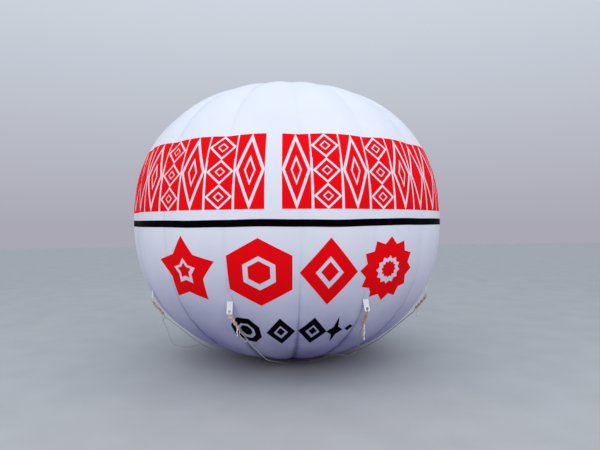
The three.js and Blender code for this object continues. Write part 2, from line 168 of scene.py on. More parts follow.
tethers = {
    "patchFoot": 0.863,  # height of each patch's lower end
    # side is the way that the rope wanders, tail its free end, lean the strap's own sideways slope
    "columns": ("azimuth", "route", "side", "tail", "lean"),
    "rows": [
        (-157.5, "alongHull", -1, 0.090, 0.05),
        (-112.5, "offHull", -1, 0.120, -0.04),
        (-67.5, "offHull", 1, 0.105, 0.02),
        (-22.5, "alongHull", 1, 0.060, -0.06),
        (22.5, "sagging", 1, 0.130, 0.20),
        (67.5, "offHull", -1, 0.080, -0.05),
        (112.5, "sagging", -1, 0.110, 0.08),
        (157.5, "offHull", 1, 0.070, -0.07),
    ],
    "darkRopes": (5, 6, 7, 8),  # the ropes on the right side are darker and browner
}
tetherNumbers = range(1, len(tethers["rows"]) + 1)


def tetherAt(number):
    # A strap's row of the table, by the names of its columns
    return dict(zip(tethers["columns"], tethers["rows"][number - 1]))


def axesOf(number):
    # A strap's azimuth, and its sideways and outward directions
    azimuth = math.radians(tetherAt(number)["azimuth"])
    across, back = math.cos(azimuth), math.sin(azimuth)
    return azimuth, np.array([across, back, 0]), np.array([back, -across, 0])


def seamOf(azimuth, r):
    # Nearest seam's number, the signed arc from it, and the share of the gore's half width
    turn = azimuth / gorePitch
    number = np.round(turn)
    away = (turn - number) * gorePitch * r
    return number.astype(int) % hull["gores"], away, np.abs(turn - number) * 2


def filmRelief(t, azimuth):
    # Sines along the seam that die away from it, plus a slow swell; both fade at the poles and patches
    r, _, _, _, _, up = outline(t)
    r, arc, up = np.broadcast_arrays(r, arcAt(t), up)
    number, away, share = seamOf(azimuth, r)
    pucker = np.zeros(np.broadcast(arc, azimuth).shape)
    for k, (wave, depth, reach, slant) in enumerate(relief["puckers"]):
        phase = puckerPhase[number, k] + away * slant
        pucker = pucker + depth * np.sin(2 * math.pi * arc / wave + phase) * np.exp(-np.abs(away) / reach)
    even, low, high = relief["puckerShares"]
    nearTop = smooth(*relief["high"], up)
    pucker = pucker * (1 - share**2) ** 2 * (even + low * smooth(*relief["puckerLow"], up) + high * nearTop)
    drawn = smooth(*relief["pinchLow"], up) + relief["pinchHighShare"] * nearTop
    pucker = pucker - relief["pinch"] * drawn * np.exp(-((away / relief["pinchReach"]) ** 2))
    swell = relief["swell"] * sum(
        part * np.sin(lobes * azimuth + climb * arc + phase)
        for (part, lobes, climb), phase in zip(relief["swellWaves"], swellPhase)
    )
    strapArc = arcAt(angleAtHeight(tethers["patchFoot"]))
    near = np.exp(-((arc - strapArc) ** 2 + away**2) / relief["calmRadius"] ** 2)
    calm = 1 - np.where(number % 2 == 1, near, 0)
    return (pucker + swell) * calm * smooth(*relief["fadeIn"], r)


def lapStep(away):
    # Up before the lap, level over it, and down past its edge, wide enough for a coarse grid to clear it
    rise, level = lap["halfWidth"] + lap["ramp"], lap["halfWidth"]
    up = smooth(-rise - lap["clear"], -level - lap["clear"], away)
    return lap["height"] * up * (1 - smooth(level + lap["clear"], level + 2 * lap["clear"], away))


def skin(t, azimuth, lift=0.0, laps=False):
    # The outline, dented by a parabola across each gore, and moved along its normal by lift and relief
    t, azimuth = np.broadcast_arrays(np.asarray(t, float), np.asarray(azimuth, float))
    r, z, normalR, normalZ, across, up = outline(t)
    turn = azimuth / gorePitch
    depth = hull["lobeDepth"] * across * (0.5 + 0.5 * np.abs(up) ** 1.5)
    inset = depth * (2 * (turn - np.floor(turn)) - 1) ** 2
    rise = lift - inset + filmRelief(t, azimuth)
    if laps:
        rise = rise + lapStep(seamOf(azimuth, r)[1])
    reach = r + rise * normalR
    return np.stack([reach * np.sin(azimuth), -reach * np.cos(azimuth), z + rise * normalZ], -1)


def onHull(azimuth, arc, x, y, lift):
    # A flat pattern laid on the hull: y runs up the meridian, x round the axis at the middle's radius
    middle = np.interp(arc, meridianArc, meridianR)
    return skin(angleAtArc(arc + y), azimuth + x / middle, lift, laps=True)


def enclosed(rings, ends):
    # Signed volume of the rings and their caps, so that the faces can be turned outwards
    near, far = rings, np.roll(rings, -1, 0)
    if ends != "loop":
        near, far = rings[:-1], rings[1:]
    corners = (near, np.roll(near, -1, 1), np.roll(far, -1, 1), far)
    a, b, c, d = (points.reshape(-1, 3) for points in corners)
    volume = (np.cross(a, b) * c).sum() + (np.cross(a, c) * d).sum()
    if ends != "loop":
        for cap in (rings[0][::-1], rings[-1]):
            volume += (np.cross(cap, np.roll(cap, -1, 0)) * cap.mean(0)).sum()
    return volume


def ringsData(rings, ends="fan", along=None):
    # Quads between neighbouring closed rings; the ends are a fan, one flat face, or joined into a loop
    rings = np.asarray(rings, float)
    rows, columns, _ = rings.shape
    along = np.arange(rows, dtype=float) if along is None else np.asarray(along, float)
    i, j = np.meshgrid(np.arange(rows if ends == "loop" else rows - 1), np.arange(columns), indexing="ij")
    i2, j2 = (i + 1) % rows, (j + 1) % columns
    around = np.arange(columns)
    nextAround = (around + 1) % columns
    quads = np.stack([i * columns + j, i * columns + j2, i2 * columns + j2, i2 * columns + j], -1)
    uvCorners = ((j, i), (j + 1, i), (j + 1, i2), (j, i2))
    uvs = np.stack([np.stack([across / columns, along[row]], -1) for across, row in uvCorners], 2)
    points, last = rings.reshape(-1, 3), (rows - 1) * columns
    faces, faceUvs = quads.reshape(-1, 4).tolist(), uvs.reshape(-1, 4, 2).tolist()
    if ends == "ngon":
        faces += [around[::-1].tolist(), (last + around).tolist()]
        share = around / columns
        faceUvs += [[[k, along[0]] for k in share[::-1]], [[k, along[-1]] for k in share]]
    if ends == "fan":
        points = np.concatenate([points, rings[0].mean(0)[None], rings[-1].mean(0)[None]])
        hub = np.full(columns, rows * columns)
        faces += np.stack([hub, nextAround, around], -1).tolist()
        faces += np.stack([hub + 1, last + around, last + nextAround], -1).tolist()
        faceUvs += [[[0.5, along[0]]] * 3] * columns + [[[0.5, along[-1]]] * 3] * columns
    if enclosed(rings, ends) < 0:
        faces = [face[::-1] for face in faces]
        faceUvs = [uv[::-1] for uv in faceUvs]
    return points, faces, faceUvs


def linked(name, data):
    # A new object in the scene, at the origin
    thing = bpy.data.objects.new(name, data)
    bpy.context.scene.collection.objects.link(thing)
    return thing


def makeMesh(name, parts, material, sharp=35, attributes=None):
    # Parts are laid one after another in one mesh
    points, faces, uvs, offset = [], [], [], 0
    for partPoints, partFaces, partUvs in parts:
        points.append(partPoints)
        faces += [[k + offset for k in face] for face in partFaces] if offset else partFaces
        uvs += partUvs
        offset += len(partPoints)
    mesh = bpy.data.meshes.new(name)
    mesh.from_pydata(np.concatenate(points).tolist(), [], faces)
    layer = mesh.uv_layers.new(name="UVMap")
    layer.uv.foreach_set("vector", np.array([xy for face in uvs for xy in face], np.float32).ravel())
    for key, values in (attributes or {}).items():
        column = mesh.attributes.new(key, "FLOAT", "POINT")
        column.data.foreach_set("value", np.asarray(values, np.float32).ravel())
    mesh.polygons.foreach_set("use_smooth", np.ones(len(mesh.polygons), bool))
    mesh.set_sharp_from_angle(angle=math.radians(sharp))
    mesh.materials.append(material)
    mesh.update()
    return linked(name, mesh)


def settle(piece, body, node=None):
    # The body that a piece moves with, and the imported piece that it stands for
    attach(piece, body)
    if node:
        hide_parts(node)


def tube(path, radius, reference, sides=12, ends="fan", twist=None):
    # A circle carried along the path; its first axis is the reference made square to the path
    path = np.asarray(path, float)
    run = np.roll(path, -1, 0) - np.roll(path, 1, 0) if ends == "loop" else np.gradient(path, axis=0)
    tangent = unit(run)
    reference = np.broadcast_to(np.asarray(reference, float), path.shape)
    first = unit(reference - (reference * tangent).sum(1, keepdims=True) * tangent)
    second = np.cross(tangent, first)
    angle, along = fullTurn(sides), runLengths(path)
    size = np.broadcast_to(np.asarray(radius, float), (len(path),))[:, None] * np.ones(sides)
    if twist:
        lay = twist["strands"] * angle - 2 * math.pi * along[:, None] / twist["pitch"]
        size = size * (1 + twist["depth"] * (np.cos(lay) - twist["sink"]))
    rings = (
        path[:, None]
        + first[:, None] * (size * np.cos(angle))[..., None]
        + second[:, None] * (size * np.sin(angle))[..., None]
    )
    return ringsData(rings, ends, along)


def squareAxes(axis):
    # Two directions square to an axis and to each other
    helper = np.array([0.0, 0.0, 1.0]) if abs(axis[2]) < 0.9 else np.array([1.0, 0.0, 0.0])
    first = unit(np.cross(helper, axis))
    return first, np.cross(axis, first)


def turnedRings(profile, centre, axis, segments=64):
    # A profile of radius and height turned about an axis
    axis = unit(np.asarray(axis, float))
    first, second = squareAxes(axis)
    angle = fullTurn(segments)
    around = np.cos(angle)[:, None] * first + np.sin(angle)[:, None] * second
    profile = np.asarray(profile, float)
    return np.asarray(centre, float) + profile[:, None, :1] * around + profile[:, None, 1:] * axis


# Camera: an eye-level view from a little left of the front seam
view = {
    "focalPixels": 480,
    "distance": 5.925,
    "height": 1.56,
    "azimuth": -3.3,  # degrees round from the front
    "balloonLeftPixels": 11.5,  # the balloon stands this far left of the picture's middle
    "roll": -0.38,
    "imageWidth": 600,
}


def addCamera():
    # Swung round the balloon's axis at eye height, turned a little off it, and level but for its roll
    data = bpy.data.cameras.new("eyeLevel")
    data.sensor_width = 36
    data.lens = data.sensor_width * view["focalPixels"] / view["imageWidth"]
    data.clip_end = 200
    camera = linked("eyeLevel", data)
    swing = math.radians(view["azimuth"])
    place = Vector((math.sin(swing), -math.cos(swing), 0)) * view["distance"]
    heading = -swing + math.atan2(view["balloonLeftPixels"], view["focalPixels"])
    turn = Matrix.Rotation(-heading, 4, "Z") @ Matrix.Rotation(math.pi / 2, 4, "X")
    turn = turn @ Matrix.Rotation(math.radians(view["roll"]), 4, "Z")
    camera.matrix_world = Matrix.Translation(place + Vector((0, 0, view["height"]))) @ turn
    bpy.context.scene.camera = camera


addCamera()
print("camera placed")


# Shader helpers
def feed(tree, socket, value):
    # An output is linked, a plain value is set
    if isinstance(value, bpy.types.NodeSocket):
        tree.links.new(value, socket)
    else:
        socket.default_value = value


def nodeIn(tree, kind, settings=None, **sockets):
    # settings are the node's own choices, sockets its inputs by name
    node = tree.nodes.new(kind)
    for key, value in (settings or {}).items():
        setattr(node, key, value)
    for key, value in sockets.items():
        feed(tree, node.inputs[key], value)
    return node


def mathIn(tree, operation, *values, clamp=False):
    node = nodeIn(tree, "ShaderNodeMath", {"operation": operation, "use_clamp": clamp})
    for k, value in enumerate(values):
        feed(tree, node.inputs[k], value)
    return node.outputs[0]


def rangeIn(tree, value, fromMin, fromMax, toMin, toMax):
    limits = {"From Min": fromMin, "From Max": fromMax, "To Min": toMin, "To Max": toMax}
    return nodeIn(tree, "ShaderNodeMapRange", {"clamp": True}, Value=value, **limits).outputs[0]


def noiseIn(tree, place, scale, detail, **more):
    return nodeIn(tree, "ShaderNodeTexNoise", Vector=place, Scale=scale, Detail=detail, **more).outputs[0]


def heightIn(tree, place):
    return nodeIn(tree, "ShaderNodeSeparateXYZ", Vector=place).outputs[2]


def lowIn(tree, place, reach):
    # 1 at the ground, falling evenly to 0 at its reach
    return mathIn(tree, "SUBTRACT", 1.0, mathIn(tree, "DIVIDE", heightIn(tree, place), reach), clamp=True)


def variedIn(tree, noise, least, most):
    # Most of a noise lies between 0.3 and 0.7
    return rangeIn(tree, noise, 0.3, 0.7, least, most)


def mixColour(tree, share, one, two):
    node = nodeIn(tree, "ShaderNodeMix", {"data_type": "RGBA"})
    for k, value in ((0, share), (6, one), (7, two)):
        feed(tree, node.inputs[k], value)
    return node.outputs[2]


def startGroup(name, place, amounts, results):
    # A node group that takes a place and named amounts and gives named results, with its two ends
    group = bpy.data.node_groups.new(name, "ShaderNodeTree")
    group.interface.new_socket(place, in_out="INPUT", socket_type="NodeSocketVector")
    for label, value in amounts.items():
        socket = group.interface.new_socket(label, in_out="INPUT", socket_type="NodeSocketFloat")
        socket.default_value = value
    for label in results:
        group.interface.new_socket(label, in_out="OUTPUT", socket_type="NodeSocketFloat")
    return group, group.nodes.new("NodeGroupInput").outputs, group.nodes.new("NodeGroupOutput").inputs


def filmCrinkleGroup():
    # Soft cockle of blown film plus a fine handled grain, in metres of height
    amounts = {"Cockle": 1.0, "Grain": 1.0}
    group, given, out = startGroup("filmCrinkle", "Position", amounts, ["Height", "Cloud"])
    slow = noiseIn(group, given["Position"], 3.1, 4.0, Roughness=0.55)
    folds = noiseIn(group, given["Position"], 17.0, 3.0, Distortion=0.8)
    grain = noiseIn(group, given["Position"], 210.0, 2.0)
    cockle = mathIn(group, "ADD", mathIn(group, "MULTIPLY", slow, 2.2), folds)
    cockle = mathIn(group, "MULTIPLY", cockle, given["Cockle"])
    fine = mathIn(group, "MULTIPLY", mathIn(group, "MULTIPLY", grain, given["Grain"]), 0.06)
    feed(group, out["Height"], mathIn(group, "ADD", cockle, fine))
    feed(group, out["Cloud"], slow)
    return group


def groundDustGroup():
    # A veil that thickens toward the ground, broken up by noise and run down in streaks
    amounts = {"Reach": 0.8, "Amount": 0.4}
    group, given, out = startGroup("groundDust", "Position", amounts, ["Dust"])
    low = lowIn(group, given["Position"], given["Reach"])
    stretch = nodeIn(group, "ShaderNodeMapping", Vector=given["Position"], Scale=(9.0, 9.0, 1.6))
    streaks = noiseIn(group, stretch.outputs[0], 1.4, 5.0, Roughness=0.6)
    specks = noiseIn(group, given["Position"], 38.0, 3.0)
    broken = mathIn(group, "MULTIPLY", rangeIn(group, streaks, 0.35, 0.75, 0.15, 1.0), low)
    spotted = mathIn(group, "MULTIPLY", rangeIn(group, specks, 0.62, 0.72, 0.0, 0.35), low)
    both = mathIn(group, "ADD", broken, spotted)
    feed(group, out["Dust"], mathIn(group, "MULTIPLY", both, given["Amount"], clamp=True))
    return group


def strandLayGroup():
    # Strands of a twisted cord: a wave that climbs round the cord, from its UV, with fuzz along it
    amounts = {"Pitch": 0.02, "Strands": 3.0}
    group, given, out = startGroup("strandLay", "UV", amounts, ["Height", "Tracer"])
    split = nodeIn(group, "ShaderNodeSeparateXYZ", Vector=given["UV"])
    around = mathIn(group, "MULTIPLY", split.outputs[0], given["Strands"])
    climb = mathIn(group, "DIVIDE", split.outputs[1], given["Pitch"])
    lay = mathIn(group, "SUBTRACT", around, climb)
    wave = mathIn(group, "COSINE", mathIn(group, "MULTIPLY", lay, 2 * math.pi))
    thread = mathIn(group, "COSINE", mathIn(group, "MULTIPLY", lay, 14 * math.pi))
    feed(group, out["Height"], mathIn(group, "ADD", wave, mathIn(group, "MULTIPLY", thread, 0.25)))
    third = mathIn(group, "FRACT", mathIn(group, "DIVIDE", lay, given["Strands"]))
    feed(group, out["Tracer"], rangeIn(group, third, 0.32, 0.36, 1.0, 0.0))
    return group


def lowShadeGroup():
    # Share of a painted shade: 1 at the ground and 0 at the top of its reach, eased, with a slow unevenness
    amounts = {"Reach": 1.6, "Amount": 0.6}
    group, given, out = startGroup("lowShade", "Position", amounts, ["Shade"])
    low = lowIn(group, given["Position"], given["Reach"])
    uneven = variedIn(group, noiseIn(group, given["Position"], 1.7, 3.0), 0.85, 1.1)
    eased = mathIn(group, "POWER", mathIn(group, "MULTIPLY", low, uneven, clamp=True), 1.7)
    feed(group, out["Shade"], mathIn(group, "MULTIPLY", eased, given["Amount"], clamp=True))
    return group


filmCrinkle = filmCrinkleGroup()
lowShade = lowShadeGroup()
groundDust = groundDustGroup()
strandLay = strandLayGroup()


def startMaterial(name):
    # A new material with its tree, its shader and the places that patterns are read at
    material = bpy.data.materials.new(name)
    material.use_nodes = True
    tree = material.node_tree
    shader = tree.nodes["Principled BSDF"]
    place = nodeIn(tree, "ShaderNodeTexCoord").outputs
    return material, tree, shader, place


def placeGroup(tree, group, **sockets):
    # A group stood in a material with that material's values
    return nodeIn(tree, "ShaderNodeGroup", {"node_tree": group}, **sockets).outputs


def finishSurface(tree, shader, colour, roughness, height, distance, strength=1.0, **fixed):
    # What every finish has: its colour, its roughness and its bump, and the shader's own fixed values
    feed(tree, shader.inputs["Base Color"], colour)
    feed(tree, shader.inputs["Roughness"], roughness)
    bump = nodeIn(tree, "ShaderNodeBump", Height=height, Distance=distance, Strength=strength)
    feed(tree, shader.inputs["Normal"], bump.outputs[0])
    for key, value in fixed.items():
        shader.inputs[key].default_value = value


filmLook = {
    "white": (0.82, 0.825, 0.90, 1),
    "shade": (0.77, 0.78, 0.87, 1),
    "low": (0.083, 0.062, 0.40, 1),  # painted shade: the lower hull darkens to lavender toward the ground
    "lowReach": 1.75,
    "lowAmount": 1.0,
    # the welds' dark line; low on the hull it is also a painted shadow in the drawn-in seam valley
    "seam": (0.03, 0.025, 0.17, 1),
    "seamHeights": (0.20, 1.20),  # the seams' dark line, weld and painted valley shadow, fades between these
    "dust": (0.30, 0.29, 0.33, 1),
    "roughness": (0.40, 0.52),
    "cockle": 0.0010,
    "coat": 0.08,
    "coatRoughness": 0.25,
}


def filmMaterial():
    # White film with a painted shade that darkens it toward the ground, and dark welds whose line low down is
    # also painted shadow; two layers and a weld look a little darker
    material, tree, shader, place = startMaterial("whiteFilm")
    spot = place["Object"]
    crinkle = placeGroup(tree, filmCrinkle, Position=spot, Cockle=1.0, Grain=1.0)
    dust = placeGroup(tree, groundDust, Position=spot, Reach=0.95, Amount=0.30)["Dust"]
    reach, amount = filmLook["lowReach"], filmLook["lowAmount"]
    shade = placeGroup(tree, lowShade, Position=spot, Reach=reach, Amount=amount)
    seam = nodeIn(tree, "ShaderNodeAttribute", {"attribute_name": "seamBand"}).outputs["Fac"]
    ripple = noiseIn(tree, spot, 26.0, 3.0)
    cloud = variedIn(tree, crinkle["Cloud"], 0.0, 0.6)
    colour = mixColour(tree, cloud, filmLook["white"], filmLook["shade"])
    # painted shade: the film darkens to lavender toward the ground
    colour = mixColour(tree, shade["Shade"], colour, filmLook["low"])
    # painted shadow: the seam line darkens toward the bottom, where the seams draw in
    lowSeamShadow = rangeIn(tree, heightIn(tree, spot), *filmLook["seamHeights"], 0.95, 0.04)
    uneven = mathIn(tree, "MULTIPLY", seam, variedIn(tree, ripple, 0.75, 1.0))
    colour = mixColour(tree, mathIn(tree, "MULTIPLY", uneven, lowSeamShadow), colour, filmLook["seam"])
    colour = mixColour(tree, dust, colour, filmLook["dust"])
    gloss = variedIn(tree, ripple, *filmLook["roughness"])
    rough = mathIn(tree, "ADD", gloss, mathIn(tree, "MULTIPLY", dust, 0.3))
    seamRipple = mathIn(tree, "MULTIPLY", mathIn(tree, "MULTIPLY", ripple, seam), 1.6)
    height = mathIn(tree, "ADD", crinkle["Height"], seamRipple)
    coat = {"Coat Weight": filmLook["coat"], "Coat Roughness": filmLook["coatRoughness"]}
    finishSurface(tree, shader, colour, rough, height, filmLook["cockle"], **coat)
    return material


inkLook = {
    "specular": 0.015,
    "roughness": (0.50, 0.62),
    "inks": {  # full, worn thin, and darkened by painted shade low on the hull
        "redInk": ((0.96, 0.003, 0.007, 1), (0.78, 0.010, 0.016, 1), (0.55, 0.0005, 0.0005, 1)),
        "blackInk": ((0.0006, 0.0006, 0.0015, 1), (0.003, 0.003, 0.006, 1), (0.001, 0.001, 0.003, 1)),
    },
}


def inkMaterial(name, colour, worn, low):
    # Ink on film: the film's own cockle shows through, the ink is thin and scuffed in places, and a painted
    # shade darkens it toward the ground
    material, tree, shader, place = startMaterial(name)
    spot = place["Object"]
    crinkle = placeGroup(tree, filmCrinkle, Position=spot, Cockle=1.0, Grain=1.4)
    shade = placeGroup(tree, lowShade, Position=spot, Reach=1.9, Amount=0.75)
    dust = placeGroup(tree, groundDust, Position=spot, Reach=0.7, Amount=0.02)
    scuff = noiseIn(tree, spot, 9.0, 6.0, Roughness=0.7)
    mixed = mixColour(tree, rangeIn(tree, scuff, 0.50, 0.80, 0.0, 0.35), colour, worn)
    # painted shade: the ink darkens toward the ground
    mixed = mixColour(tree, shade["Shade"], mixed, low)
    mixed = mixColour(tree, dust["Dust"], mixed, filmLook["dust"])
    rough = variedIn(tree, scuff, *inkLook["roughness"])
    gloss = {"Specular IOR Level": inkLook["specular"]}
    finishSurface(tree, shader, mixed, rough, crinkle["Height"], filmLook["cockle"], **gloss)
    return material


strapFinish = {
    "white": (0.90, 0.91, 0.94, 1),
    "shade": (0.78, 0.79, 0.84, 1),
    "threads": 420.0,
    "bump": 0.0008,
}


def strapMaterial():
    # Doubled coated fabric: the scrim shows as a faint square weave under the coating
    material, tree, shader, place = startMaterial("strapFilm")
    crinkle = placeGroup(tree, filmCrinkle, Position=place["Object"], Cockle=0.6, Grain=2.0)
    dust = placeGroup(tree, groundDust, Position=place["Object"], Reach=1.4, Amount=0.16)
    scrim = nodeIn(tree, "ShaderNodeTexChecker", Vector=place["UV"], Scale=strapFinish["threads"])
    cloud = variedIn(tree, crinkle["Cloud"], 0.0, 0.5)
    colour = mixColour(tree, cloud, strapFinish["white"], strapFinish["shade"])
    colour = mixColour(tree, dust["Dust"], colour, filmLook["dust"])
    height = mathIn(tree, "ADD", crinkle["Height"], mathIn(tree, "MULTIPLY", scrim.outputs["Fac"], 0.12))
    rough = variedIn(tree, crinkle["Cloud"], 0.42, 0.58)
    finishSurface(tree, shader, colour, rough, height, strapFinish["bump"], 0.8)
    return material


cordLook = {
    "pitch": 0.010,
    "fuzz": 340.0,
    "bump": 0.0005,
    "sheen": 0.3,
    "soil": (0.46, 0.34, 0.29, 1),
    # painted shade in the hollows between the strands
    "hollowShade": (0.34, 0.22, 0.18, 1),
    "ground": (0.20, 0.18, 0.20, 1),  # painted shade that darkens the lowest run of a rope
    "groundReach": 0.95,
    "cords": {  # base, tracer strand, the tracer's share, how soiled, how much painted shade near the ground
        "tanCord": ((0.90, 0.76, 0.70, 1), (0.86, 0.34, 0.14, 1), 0.9, 0.30, 0.0),
        "darkTanCord": ((0.66, 0.48, 0.42, 1), (0.42, 0.14, 0.06, 1), 0.95, 0.60, 0.0),
        "paleCord": ((0.84, 0.80, 0.76, 1), (0.74, 0.50, 0.38, 1), 0.35, 0.25, 0.8),
        "darkCord": ((0.24, 0.19, 0.18, 1), (0.16, 0.09, 0.07, 1), 0.6, 0.40, 0.5),
        "pinkCord": ((0.95, 0.86, 0.84, 1), (0.90, 0.56, 0.46, 1), 0.6, 0.15, 0.0),
    },
}


def cordMaterial(name, base, tracer, tracerShare, soiled, groundShade):
    # Twisted strands with one or more coloured ones, fuzzed, soiled in patches, with painted shade in the
    # hollows between strands and toward the ground
    material, tree, shader, place = startMaterial(name)
    spot = place["Object"]
    lay = placeGroup(tree, strandLay, UV=place["UV"], Pitch=cordLook["pitch"], Strands=3.0)
    low = placeGroup(tree, lowShade, Position=spot, Reach=cordLook["groundReach"], Amount=groundShade)
    fuzz = noiseIn(tree, spot, cordLook["fuzz"], 3.0)
    soil = noiseIn(tree, spot, 14.0, 4.0)
    colour = mixColour(tree, mathIn(tree, "MULTIPLY", lay["Tracer"], tracerShare), base, tracer)
    colour = mixColour(tree, rangeIn(tree, soil, 0.4, 0.7, 0.0, soiled), colour, cordLook["soil"])
    # painted shade: darker where the strands dip in
    colour = mixColour(tree, rangeIn(tree, lay["Height"], -1.2, -0.4, 0.5, 0.0), colour, cordLook["hollowShade"])
    # painted shade: the rope darkens toward the ground
    colour = mixColour(tree, low["Shade"], colour, cordLook["ground"])
    height = mathIn(tree, "ADD", lay["Height"], mathIn(tree, "MULTIPLY", fuzz, 0.8))
    rough = variedIn(tree, fuzz, 0.75, 0.95)
    sheen = {"Sheen Weight": cordLook["sheen"]}
    finishSurface(tree, shader, colour, rough, height, cordLook["bump"], **sheen)
    return material


steelLook = {
    "bump": 0.0003,
    "steels": {  # clean, tarnished
        "platedSteel": ((0.62, 0.63, 0.64, 1), (0.30, 0.27, 0.23, 1)),
        "dullSteel": ((0.09, 0.09, 0.11, 1), (0.04, 0.035, 0.035, 1)),
    },
}


def steelMaterial(name, clean, tarnished):
    # Zinc-plated steel, dulled in patches
    material, tree, shader, place = startMaterial(name)
    spangle = nodeIn(tree, "ShaderNodeTexVoronoi", Vector=place["Object"], Scale=260.0)
    tarnish = noiseIn(tree, place["Object"], 90.0, 5.0)
    colour = mixColour(tree, rangeIn(tree, tarnish, 0.4, 0.7, 0.0, 0.8), clean, tarnished)
    rough = variedIn(tree, tarnish, 0.22, 0.55)
    metal = {"Metallic": 1.0}
    finishSurface(tree, shader, colour, rough, spangle.outputs["Distance"], steelLook["bump"], 0.4, **metal)
    return material


whiteFilm, strapFilm = filmMaterial(), strapMaterial()
inks = {name: inkMaterial(name, *colours) for name, colours in inkLook["inks"].items()}
cords = {name: cordMaterial(name, *values) for name, values in cordLook["cords"].items()}
steels = {name: steelMaterial(name, *colours) for name, colours in steelLook["steels"].items()}
print("materials built")


# Ropes. Columns of a route: distance from the axis, sideways offset, height, in millimetres.
# veer is the way that the knots above turn to meet the route, in degrees sideways.
ropeLook = {
    "diameter": 0.008,
    "gap": 0.0003,
    "lead": 0.025,  # straight run out of the whipping
    "ringRadius": 0.040,
    "ringRod": 0.004,
    "ringLead": 0.020,  # straight run up to the ring
    "bightLead": 0.0088,  # how far a bight stands square off its rope before it turns
    "laidShare": 1.03,  # the strands stand this far past the tube's own radius
    "knottedShare": 0.95,  # pulled tight, a rope is this much thinner
    "bendEndHeight": 0.06,  # past this height a rope stays where it lies when its strap swings
    "step": 0.005,
}
strandTwist = {"strands": 3, "pitch": 0.030, "depth": 0.12, "sink": 0.3}
ringFlat = ropeLook["ringRod"] * math.cos(math.pi / 8)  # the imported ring's rod has eight sides
ropeRoutes = {
    "alongHull": {
        "veer": 12,
        "points": [
            [1455, 52, 526], [1347, 74, 421], [1247, 88, 339], [1126, 98, 255], [985, 100, 174],
            [850, 96, 120], [720, 98, 80], [600, 120, 34], [500, 150, 10], [420, 150, 5.2],
            [340, 100, 4.6], [270, 30, 4.5], [190, -20, 4.5], [110, 0, 4.5],
        ],
    },
    "offHull": {
        "veer": 0,
        "points": [
            [1455, 0, 528], [1350, -2, 436], [1230, -8, 330], [1095, -12, 219], [930, -8, 118],
            [820, 8, 64], [715, 30, 24], [620, 66, 7], [520, 95, 4.8], [440, 92, 4.6],
            [360, 35, 4.5], [290, -45, 4.5], [200, -40, 4.5], [110, 0, 4.5],
        ],
    },
    "sagging": {
        "veer": 10,
        "points": [
            [1497, 34, 533], [1490, 35, 488], [1478, 36, 438], [1456, 36, 384], [1422, 34, 333],
            [1372, 31, 289], [1300, 27, 257], [1210, 20, 242], [1115, 10, 228], [1020, 0, 199],
            [930, -9, 160], [820, -18, 112], [700, -30, 66], [590, -50, 32], [505, -68, 12],
            [430, -66, 5], [350, -25, 4.6], [270, 20, 4.5], [190, 30, 4.5], [110, 0, 4.5],
        ],
    },
}
# Slack line tied to its rope at two shares of the rope's length
bights = {
    3: {
        "from": 0.018,
        "to": 0.312,
        "points": [
            [1514, -1, 555], [1520, -10, 547], [1519, -19, 533], [1513, -22, 515], [1503, -21, 489],
            [1482, -14, 432], [1466, -7, 374], [1446, -2, 317], [1413, 0, 266], [1363, -1, 233],
            [1305, -4, 215], [1245, -5, 207], [1184, -8, 210], [1156, -9, 212], [1137, -11, 213],
            [1124, -12, 218],
        ],
    },
    4: {
        "from": 0.018,
        "to": 0.105,
        "points": [
            [1516, 35, 557], [1519, 38, 546], [1516, 42, 535], [1512, 46, 525], [1505, 50, 516],
            [1498, 53, 507], [1490, 56, 499], [1482, 59, 490], [1474, 61, 483], [1465, 62, 475],
            [1455, 64, 469], [1445, 65, 463], [1434, 65, 458], [1423, 65, 455], [1411, 65, 457],
        ],
    },
}
# The knots hang from a loop through the strap's eyelet, and the rope pulls them in toward the hull
knotLook = {
    "eyelet": 0.093,  # below the hinge line
    "loopEnd": 0.036,  # below the eyelet
    "loopSize": (0.0078, 0.0148),  # half its depth and half its height
    "loopRise": 0.0195,  # its middle above its end
    "lean": 40,  # degrees in from plumb
    "count": 4,
    "pitch": 0.046,
    "firstAt": 0.45,  # middle of a knot, as a share of its pitch
    "coreRadius": 0.0036,
    "corePitch": 0.040,
    "coreTaper": 0.020,  # the two strands draw together over this much
    "wrapRadius": 0.0118,
    "wrapRise": 0.0082,  # a turn
    "wrapUneven": (0.05, 0.0020),  # of its radius, as a share, and of its height
    "turns": 3.3,
    "overProud": 0.0022,  # the bight that crosses the turns
    "overLength": 0.030,
    "overShare": 0.92,  # of the rope's thickness
    "whipping": 0.004,  # half its length
    "twine": 0.0012,
    "twineRadius": 0.0043,
    "twineTurns": 4,
}
joints = {joint["name"]: joint for joint in frame["joints"]}


def routeCurve(points, perSpan=60):
    # Centripetal Catmull-Rom through all the points, every span worked out at once
    points = np.asarray(points, float)
    before = np.concatenate([[2 * points[0] - points[1]], points[:-1]])[:-1]
    after = np.concatenate([points[1:], [2 * points[-1] - points[-2]]])[1:]
    start, end = points[:-1], points[1:]
    spans = ((before, start), (start, end), (end, after))
    first, own, last = (np.linalg.norm(b - a, axis=1, keepdims=True) ** 0.5 for a, b in spans)
    slope0 = ((start - before) / first - (end - before) / (first + own) + (end - start) / own) * own
    slope1 = ((end - start) / own - (after - start) / (own + last) + (after - end) / last) * own
    s = np.linspace(0, 1, perSpan, endpoint=False)[None, :, None]
    start, end, slope0, slope1 = (a[:, None] for a in (start, end, slope0, slope1))
    curve = (
        start * (2 * s**3 - 3 * s**2 + 1) + slope0 * (s**3 - 2 * s**2 + s)
        + end * (3 * s**2 - 2 * s**3) + slope1 * (s**3 - s**2)
    )
    return np.concatenate([curve.reshape(-1, 3), points[-1:]])


